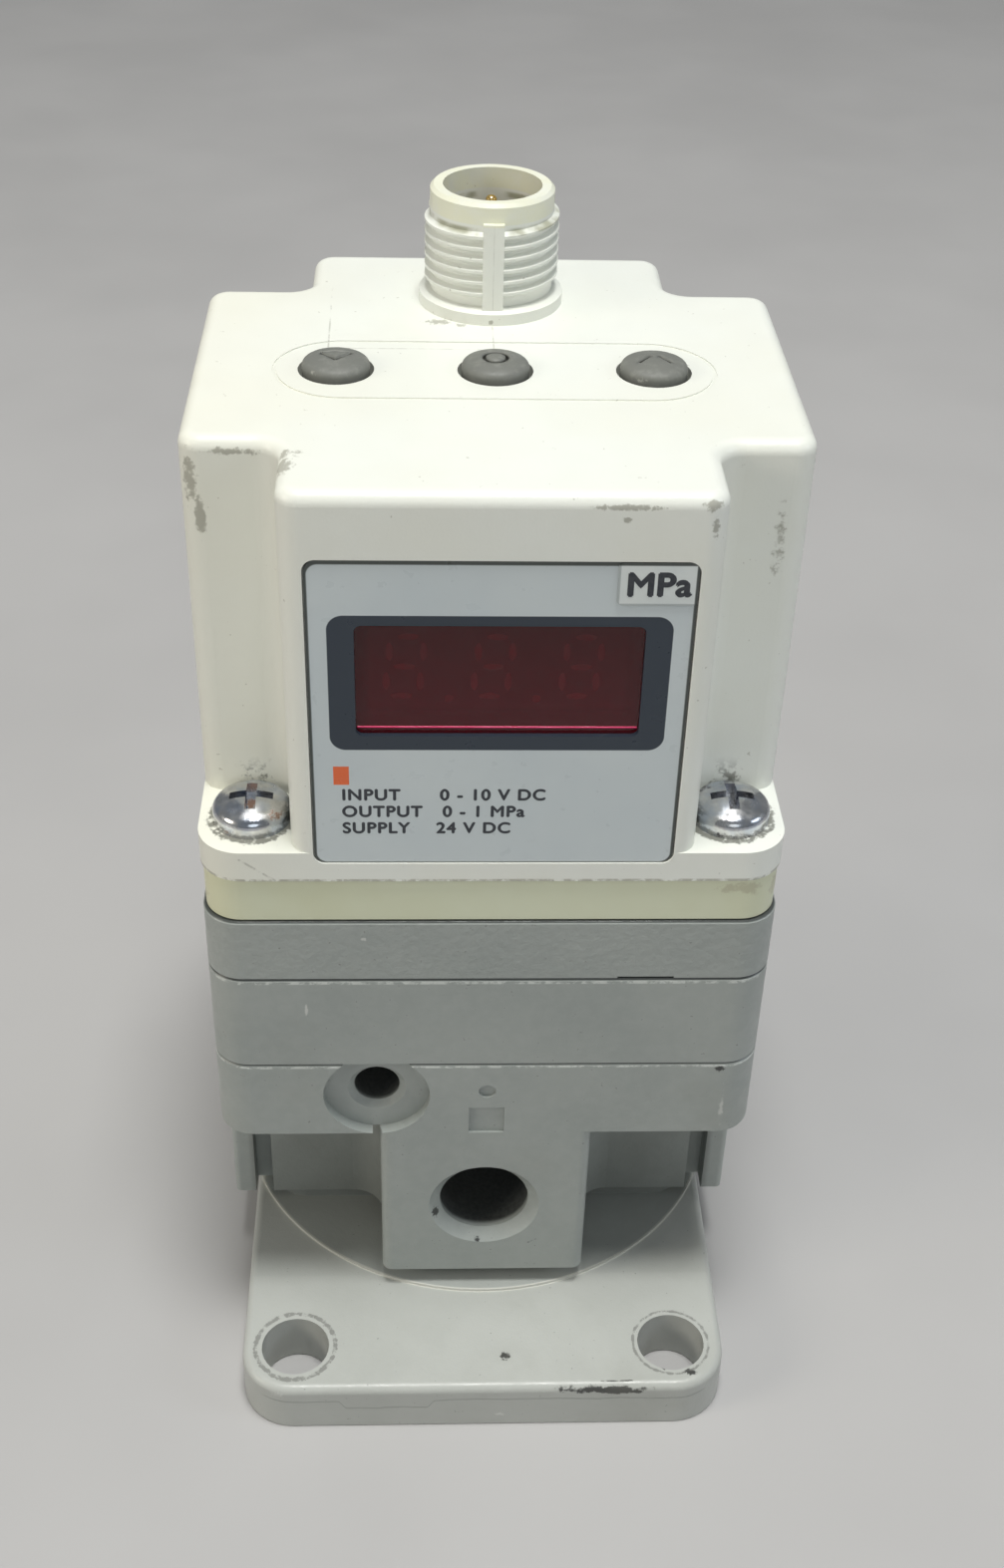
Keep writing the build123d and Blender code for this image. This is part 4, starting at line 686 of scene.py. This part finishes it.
def screw_dirt(x):
    """Dirt that has gathered on the ledge round a screw head."""
    away = white.vector("MULTIPLY", white.vector("SUBTRACT", white.place, (x * mm, -18.8 * mm, 0)), (1, 1, 0))
    gap = white.math("ABSOLUTE", white.math("SUBTRACT", white.vector("LENGTH", away), 3.5 * mm))
    ring = white.ramp(gap, 0.1 * mm, 0.9 * mm, 0.34, 0.0)
    low = white.ramp(white.z, 61.5 * mm, 64.5 * mm, 1.0, 0.0)
    return white.math("MULTIPLY", white.ramp(white.math("ADD", ring, white.noise(0.7, 5.0, 0.7)), 0.68, 0.84), low)


rings = white.either(screw_dirt(-20.5), screw_dirt(20.5))
shell = white.mix(white.spread(rings, 0.8), shell, (0.09, 0.09, 0.07))
mouth = white.math("MULTIPLY", white.level(103.4, 1.2, 0.9), white.ramp(white.noise(2.2, 4.0), 0.3, 0.6, 0.45, 1.0))
shell = white.mix(white.spread(mouth, 0.4), shell, (0.80, 0.79, 0.50))
off_strip = white.ramp(white.math("ABSOLUTE", white.x), 0.9 * mm, 1.8 * mm)
groove = white.math("MULTIPLY", white.level(102.0, 0.2, 0.3, 0.15), white.ramp(white.noise(2.2, 4.0), 0.35, 0.6))
shell = white.mix(white.math("MULTIPLY", white.spread(groove, 0.7), off_strip), shell, (0.24, 0.24, 0.13))
foot = white.math("MULTIPLY", white.level(57.7, 0.14, 0.2), white.ramp(white.noise(1.2, 5.0, 0.7), 0.4, 0.55))
shell = white.mix(white.spread(foot, 0.6), shell, (0.25, 0.23, 0.17))
white.colour(shell)
white.roughness(white.ramp(white.noise(3.0), 0.2, 0.8, 0.30, 0.44))
grain = white.math("ADD", white.noise(0.25, 2.0), white.noise(3.0, 1.0))
white.relief(white.math("SUBTRACT", grain, white.math("MULTIPLY", lines, 0.6)), 0.025, 0.4)
white.wear("cover", "connector_thread", "connector_key")

# %% Cream band
cream = Finish("cream plastic", (0.62, 0.61, 0.47), 0.38)
patchy = cream.ramp(cream.noise(11.0, 4.0), 0.3, 0.75)
band = cream.mix(patchy, (0.69, 0.72, 0.55), (0.65, 0.67, 0.48))
# Painted warm light: the left end of the band is tinted warmer, as warm light falls on it from the left.
left = cream.ramp(cream.x, -25.5 * mm, -19 * mm, 1.0, 0.0)
band = cream.mix(cream.spread(left, 0.5), band, (0.74, 0.71, 0.45))
stain = cream.either(
    cream.spot((21.5, -23.7, 56.5), (3.2, 1.5, 1.3), 1.2, 0.34),
    cream.spot((24.5, -21.5, 55.8), (1.4, 2.5, 1.6), 1.2, 0.4),
    cream.spot((-24.4, -21.8, 54.6), (0.8, 1.2, 0.7), 0.7, 0.34),
)
band = cream.mix(cream.spread(stain, 0.35), band, (0.33, 0.28, 0.18))
seam_dirt = cream.either(cream.level(53.05, 0.12, 0.1), cream.level(57.6, 0.06, 0.14))
seam_dirt = cream.math("MULTIPLY", seam_dirt, cream.ramp(cream.noise(1.2, 5.0, 0.7), 0.38, 0.55))
band = cream.mix(cream.spread(seam_dirt, 0.65), band, (0.13, 0.12, 0.08))
cream.colour(band)
cream.roughness(cream.ramp(cream.noise(3.0), 0.2, 0.8, 0.32, 0.46))
cream.relief(cream.noise(0.3, 2.0), 0.02, 0.3)
cream.wear("circuit_base")

# %% [markdown]
# ## Printed name plate
# The plate is a pale blue-grey sheet, printed with a dark frame round the window and a small
# orange mark. Both have crisp edges, so they are masks worked out from the distance to a
# rounded rectangle, and stay sharp at any zoom. The unit sticker has a thin outline.

# %% Name plate
def frame_mask(finish, x_half, z_low, z_high, corner, soft=0.04):
    """1 inside an upright rounded rectangle centred on x = 0, in millimetres."""
    inner = ((-x_half + corner, -60, z_low + corner), (x_half - corner, 60, z_high - corner))
    middle = tuple((a + b) / 2 * mm for a, b in zip(*inner))
    half = tuple((b - a) / 2 * mm for a, b in zip(*inner))
    away = finish.vector("ABSOLUTE", finish.vector("SUBTRACT", finish.place, middle))
    out = finish.vector("LENGTH", finish.vector("MAXIMUM", finish.vector("SUBTRACT", away, half), (0, 0, 0)))
    return finish.ramp(out, (corner - soft) * mm, (corner + soft) * mm, 1.0, 0.0)


plate = Finish("name plate", (0.58, 0.63, 0.64), 0.3)
sheet = plate.mix(plate.ramp(plate.noise(12.0, 3.0), 0.3, 0.7), (0.56, 0.62, 0.645), (0.60, 0.655, 0.67))
# Painted shadow: a thin dark band round the plate's edge, where the gap in its recess lies in shade.
inside_of_edge_shadow = frame_mask(plate, 14.78, 59.62, 88.06, 0.9, 0.05)
sheet = plate.mix(plate.math("SUBTRACT", 1.0, inside_of_edge_shadow), sheet, (0.07, 0.08, 0.075))
bezel = frame_mask(plate, 13.4, 71.05, 83.6, 1.3)
sheet = plate.mix(bezel, sheet, (0.028, 0.040, 0.058))
orange = plate.box((-13.2, -30, 67.6), (-11.96, 0, 69.4), 0.03)
sheet = plate.mix(orange, sheet, (0.78, 0.15, 0.045))
smudge = plate.ramp(plate.noise(5.0, 5.0, 0.7), 0.62, 0.8)
sheet = plate.mix(plate.math("MULTIPLY", smudge, 0.10), sheet, (0.30, 0.30, 0.27))
plate.colour(sheet)
plate.roughness(plate.ramp(plate.noise(1.5), 0.2, 0.8, 0.26, 0.36))
plate.relief(plate.noise(0.5, 2.0), 0.01, 0.15)
plate.wear("name_plate")

# %% Unit sticker and printing ink
sticker = Finish("unit sticker", (0.66, 0.71, 0.71), 0.3)
outline = sticker.math("SUBTRACT", 1.0, sticker.box((9.02, -30, 84.87), (14.9, 0, 88.3), 0.05))
paper = sticker.mix(sticker.ramp(sticker.noise(4.0), 0.3, 0.7), (0.65, 0.70, 0.70), (0.70, 0.74, 0.73))
paper = sticker.mix(sticker.math("MULTIPLY", outline, 0.6), paper, (0.24, 0.27, 0.28))
# Painted shadow: a dark line on the sticker's right and top edges carries on the painted shadow round the edge of
# the plate.
rim = sticker.either(sticker.ramp(sticker.x, 14.74 * mm, 14.82 * mm), sticker.ramp(sticker.z, 88.1 * mm, 88.2 * mm))
sticker.colour(sticker.mix(rim, paper, (0.07, 0.08, 0.075)))
sticker.relief(sticker.noise(0.6), 0.01, 0.15)
sticker.wear("unit_tag")
ink = Finish("printing ink", (0.03, 0.035, 0.045), 0.4)
ink.colour(ink.mix(ink.ramp(ink.noise(0.4), 0.3, 0.8), (0.025, 0.03, 0.04), (0.05, 0.055, 0.065)))
ink.roughness(ink.ramp(ink.noise(0.8), 0.2, 0.8, 0.35, 0.5))
ink.wear(*printed)

# %% [markdown]
# ## Red window and its digits
# The filter is dark red acrylic: light goes through it twice, in and out again, so what lies
# behind is dim. The module is black with segments of a slightly paler red; inside the window its face is painted
# bright red, fading to black at the edge, as painted light.

# %% Red window
glass = Finish("red filter", (0.40, 0.004, 0.02), 0.08, IOR=1.49)
glass.shader.inputs["Transmission Weight"].default_value = 0.88
glass.shader.inputs["Specular IOR Level"].default_value = 0.12
haze = glass.ramp(glass.noise(2.0, 4.0), 0.3, 0.8, 0.04, 0.10)
glass.roughness(haze)
depth = glass.ramp(glass.z, 72.4 * mm, 82.7 * mm)
glass.colour(glass.mix(depth, (0.52, 0.006, 0.035), (0.40, 0.003, 0.018)))
glass.relief(glass.noise(4.0, 1.0), 0.01, 0.1)
glass.wear("display_window")
# Painted highlight: a bright red finish that glows faintly, though the strip is no lamp.
glow = Finish("painted filter glint", (0.80, 0.04, 0.18), 0.25)
glow.colour(glow.mix(glow.ramp(glow.noise(3.0), 0.3, 0.7), (0.75, 0.03, 0.15), (0.88, 0.08, 0.24)))
glow.shader.inputs["Emission Color"].default_value = (0.9, 0.05, 0.18, 1)
glow.shader.inputs["Emission Strength"].default_value = 0.12
glow.wear("window_glint")

# %% Display module and its segments
module = Finish("display module", (0.60, 0.13, 0.16), 0.5)
face = module.mix(module.ramp(module.noise(2.0), 0.3, 0.7), (0.72, 0.16, 0.20), (0.82, 0.19, 0.24))
# Painted light: inside this soft-edged area the black module's face is painted bright red, as if lit; outside it
# stays near black.
lit = frame_mask(module, 10.5, 73.7, 81.9, 0.7, 0.5)
module.colour(module.mix(lit, (0.06, 0.015, 0.02), face))
module.roughness(module.ramp(module.noise(1.0), 0.2, 0.8, 0.4, 0.6))
module.relief(module.noise(0.4, 2.0), 0.01, 0.2)
module.wear("led_display")
lamp = Finish("display segments", (0.30, 0.05, 0.07), 0.4)
lamp.colour(lamp.mix(lamp.ramp(lamp.noise(0.8), 0.3, 0.7), (0.13, 0.02, 0.03), (0.18, 0.03, 0.04)))
lamp.roughness(lamp.ramp(lamp.noise(0.6), 0.2, 0.8, 0.3, 0.5))
lamp.wear("digit_left", "digit_middle", "digit_right", "point_left", "point_right")

# %% [markdown]
# ## Keys, screws and pins
# The keys are a fine matt grey plastic, with painted shade on the floors of the engraving. The screws are zinc
# plated:
# bright, with brown rust in the cross of the left one.

# %% Keys
keys = Finish("key plastic", (0.22, 0.225, 0.205), 0.55)
dust = keys.ramp(keys.noise(1.2, 4.0, 0.7), 0.45, 0.75)
dome = keys.mix(dust, (0.165, 0.17, 0.155), (0.215, 0.22, 0.20))
flank = keys.ramp(keys.z, 94.2 * mm, 94.75 * mm, 1.0, 0.0)
dome = keys.mix(keys.spread(flank, 0.5), dome, (0.075, 0.077, 0.068))
def groove_floor_shade(x):
    """1 on the floors of the grooves in the key whose axis is at x, for painted shade."""
    away = keys.vector("MULTIPLY", keys.vector("SUBTRACT", keys.place, (x, key_y, 0)), (1, 1, 0))
    near = keys.ramp(keys.vector("LENGTH", away), 1.85 * mm, 1.95 * mm, 1.0, 0.0)
    return keys.math("MULTIPLY", near, keys.ramp(keys.z, 94.93 * mm, 94.98 * mm, 1.0, 0.0))


marks = keys.either(groove_floor_shade(-key_pitch), groove_floor_shade(0), groove_floor_shade(key_pitch))
# Painted shade on the floors of the engraved marks.
dome = keys.mix(keys.spread(marks, 0.85), dome, (0.045, 0.045, 0.038))
rubbed = keys.either(
    keys.spot((12.3, -4.2, 94.3), (1.2, 0.6, 0.5), 0.4, 0.3),
    keys.spot((-14.6, -3.9, 94.5), (0.9, 0.6, 0.4), 0.4, 0.28),
)
keys.colour(keys.mix(keys.spread(rubbed, 0.5), dome, (0.46, 0.46, 0.42)))
keys.roughness(keys.ramp(keys.noise(0.7), 0.2, 0.8, 0.46, 0.62))
keys.relief(keys.noise(0.18, 2.0), 0.02, 0.4)
keys.wear("key_down", "key_set", "key_up", "button_down", "button_set", "button_up")

# %% Zinc screws
zinc = Finish("zinc plate", (0.66, 0.66, 0.67), 0.2, Metallic=1.0)
cloudy = zinc.ramp(zinc.noise(1.1, 4.0, 0.6), 0.3, 0.75)
bright = zinc.mix(cloudy, (0.72, 0.72, 0.73), (0.50, 0.50, 0.51))
tint = zinc.mix(zinc.ramp(zinc.noise(1.7, 2.0), 0.4, 0.7), bright, (0.50, 0.54, 0.62))
rust = zinc.either(
    zinc.spot((-20.3, -18.2, 60.9), (1.2, 1.5, 1.2), 0.7, 0.5),
    zinc.spot((-18.6, -20.8, 62.2), (1.4, 1.0, 0.8), 0.7, 0.3),
    zinc.spot((-21.9, -21.4, 60.9), (1.2, 0.9, 0.6), 0.4, 0.26),
)
grime = zinc.either(
    zinc.spot((20.6, -18.6, 61.2), (2.2, 2.2, 1.0), 0.4, 0.36),
    zinc.spot((20.5, -21.6, 60.9), (2.6, 1.0, 0.5), 0.4, 0.4),
    zinc.spot((18.3, -17.0, 62.4), (1.1, 1.6, 0.9), 0.7, 0.34),
)
plated = zinc.mix(zinc.spread(rust, 0.8), tint, (0.26, 0.12, 0.05))
zinc.colour(zinc.mix(zinc.spread(grime, 0.8), plated, (0.08, 0.075, 0.08)))
worn = zinc.ramp(zinc.noise(0.8, 3.0), 0.2, 0.8, 0.12, 0.30)
zinc.roughness(zinc.math("ADD", worn, zinc.math("MULTIPLY", zinc.either(rust, grime), 0.4)))
zinc.relief(zinc.noise(0.7, 3.0), 0.03, 0.5)
zinc.wear("cover_screws", "bracket_screws", "body_screws", "solenoid_screws", "board_screws")

# %% Gold pins
gold = Finish("gold plate", (0.85, 0.60, 0.22), 0.22, Metallic=1.0)
gold.colour(gold.mix(gold.ramp(gold.noise(0.8), 0.3, 0.7), (0.88, 0.63, 0.25), (0.78, 0.52, 0.18)))
gold.roughness(gold.ramp(gold.noise(0.5), 0.2, 0.8, 0.16, 0.3))
gold.wear("connector_pins")

# %% [markdown]
# ## Inner parts
# The parts inside only show when the keys move or when someone opens the model, but each has
# the finish it would have: turned metal with rings round its axis, moulded rubber, black
# plastic, green boards with lighter tracks, and coils in black cases.

# %% Turned metal
def turned(name, light, dark, rough, metal=1.0):
    """Metal with fine rings round the upright axis of the valve."""
    finish = Finish(name, light, rough, Metallic=metal)
    round_place = finish.vector("LENGTH", finish.vector("MULTIPLY", finish.place, (1, 1, 0)))
    rings = finish.node("TexNoise", Scale=1.0, Detail=1.0)
    combined = finish.node("CombineXYZ", X=finish.math("MULTIPLY", round_place, 9000.0),
                           Y=finish.math("MULTIPLY", finish.z, 9000.0))
    finish.feed(rings.inputs["Vector"], combined.outputs[0])
    groove = rings.outputs["Fac"]
    finish.colour(finish.mix(finish.ramp(groove, 0.3, 0.7), light, dark))
    finish.roughness(finish.ramp(groove, 0.2, 0.8, rough - 0.08, rough + 0.1))
    finish.relief(groove, 0.01, 0.4)
    return finish


turned("turned aluminium", (0.80, 0.80, 0.82), (0.68, 0.68, 0.70), 0.28).wear(
    "guide_plug", "main_valve", "diaphragm_plate_lower", "diaphragm_plate_upper")
turned("turned brass", (0.78, 0.58, 0.27), (0.66, 0.47, 0.20), 0.26).wear("valve_guide", "diaphragm_stem")
turned("drawn steel", (0.58, 0.58, 0.60), (0.46, 0.46, 0.48), 0.32).wear(
    "valve_spring", "diaphragm_nut", "pressure_sensor")

# %% Rubber and plastics inside
def plain(name, light, dark, rough, grain, depth):
    """A moulded finish: two close tones in clouds, and a fine grain."""
    finish = Finish(name, light, rough)
    finish.colour(finish.mix(finish.ramp(finish.noise(grain * 4, 3.0), 0.3, 0.7), light, dark))
    finish.roughness(finish.ramp(finish.noise(grain), 0.2, 0.8, rough - 0.07, rough + 0.07))
    finish.relief(finish.noise(grain, 3.0), depth, 0.4)
    return finish


plain("nitrile rubber", (0.030, 0.030, 0.031), (0.045, 0.044, 0.043), 0.62, 0.5, 0.03).wear(
    "valve_guide_seal", "valve_tail_seal", "valve_disc", "main_diaphragm", "sensor_seal",
    "pilot_gasket", "cover_gasket")
plain("black plastic", (0.020, 0.020, 0.021), (0.034, 0.034, 0.035), 0.45, 0.4, 0.02).wear(
    "connector_insert", "board_header", "switch_down", "switch_set", "switch_up",
    "switch_plunger_down", "switch_plunger_set", "switch_plunger_up")
plain("coil case", (0.028, 0.028, 0.030), (0.042, 0.042, 0.044), 0.5, 0.7, 0.03).wear(
    "supply_solenoid", "exhaust_solenoid")

# %% Green boards
board = Finish("green board", (0.015, 0.10, 0.035), 0.35)
tracks = board.node("TexBrick", Scale=1.0)
board.feed(tracks.inputs["Vector"], board.vector("MULTIPLY", board.place, (900, 900, 900)))
for name, value in (("Color1", (0.012, 0.085, 0.030, 1)), ("Color2", (0.016, 0.10, 0.036, 1)),
                    ("Mortar", (0.03, 0.17, 0.06, 1)), ("Mortar Size", 0.08)):
    tracks.inputs[name].default_value = value
board.colour(tracks.outputs["Color"])
board.roughness(board.ramp(board.noise(1.5), 0.2, 0.8, 0.28, 0.42))
board.relief(tracks.outputs["Fac"], 0.03, 0.5)
board.wear("control_board", "display_board", "button_board")

# %% [markdown]
# ## Floor and light
# The floor is plain and pale. One lamp hangs above and a little in front, as a bench light
# would, so that tops are bright, fronts are in half shade, and the body throws a soft
# shadow on the bracket. A weak warm lamp on the left and a cool one on the right draw the
# rounded upright edges. The sky gives the rest, dimmer where metal mirrors it, so that the
# screws keep their dark and bright bands.

# %% Floor
floor = start("plane", "floor", size=6.0, location=(0, 0, -0.1 * mm))
pick(floor, lambda v: True)
bpy.ops.mesh.subdivide(number_cuts=3)
bpy.ops.object.mode_set(mode="OBJECT")
ground = Finish("floor", (0.44, 0.435, 0.435), 0.55)
ground.colour(ground.mix(ground.ramp(ground.noise(60.0, 3.0), 0.3, 0.7), (0.43, 0.425, 0.425), (0.46, 0.455, 0.455)))
ground.roughness(ground.ramp(ground.noise(20.0), 0.2, 0.8, 0.45, 0.6))
floor.data.materials.append(ground.material)

# %% Lamps and sky
def lamp_at(name, place, aim, size, power, colour=(1, 1, 1)):
    data = bpy.data.lights.new(name, "AREA")
    data.shape, data.size, data.energy, data.color = "DISK", size, power, colour
    light = bpy.data.objects.new(name, data)
    bpy.context.scene.collection.objects.link(light)
    light.location = place
    light.rotation_euler = (Vector(aim) - Vector(place)).to_track_quat("-Z", "Y").to_euler()
    print(name, power, "W")


lamp_at("lamp_above", (0.03, -0.09, 0.95), (0, 0, 0.05), 0.26, 6.9, (1.0, 1.0, 0.97))
lamp_at("lamp_left", (-0.75, -0.30, 0.40), (0, 0, 0.05), 0.30, 2.0, (1.0, 0.92, 0.78))
lamp_at("lamp_right", (0.80, -0.25, 0.45), (0, 0, 0.05), 0.30, 1.0, (0.86, 0.93, 1.0))
lamp_at("lamp_front", (0.10, -0.95, 0.50), (0, 0, 0.06), 0.5, 0.8, (0.96, 1.0, 0.98))
sky = bpy.data.worlds.new("sky")
sky.use_nodes = True
tree = sky.node_tree
open_sky = tree.nodes["Background"]
open_sky.inputs["Color"].default_value = (0.82, 0.83, 0.84, 1)
open_sky.inputs["Strength"].default_value = 0.29
mirrored = tree.nodes.new("ShaderNodeBackground")
mirrored.inputs["Color"].default_value = (0.70, 0.74, 0.76, 1)
mirrored.inputs["Strength"].default_value = 0.30
chooser = tree.nodes.new("ShaderNodeMixShader")
ray = tree.nodes.new("ShaderNodeLightPath")
tree.links.new(ray.outputs["Is Glossy Ray"], chooser.inputs["Fac"])
tree.links.new(open_sky.outputs[0], chooser.inputs[1])
tree.links.new(mirrored.outputs[0], chooser.inputs[2])
tree.links.new(chooser.outputs[0], tree.nodes["World Output"].inputs["Surface"])
bpy.context.scene.world = sky
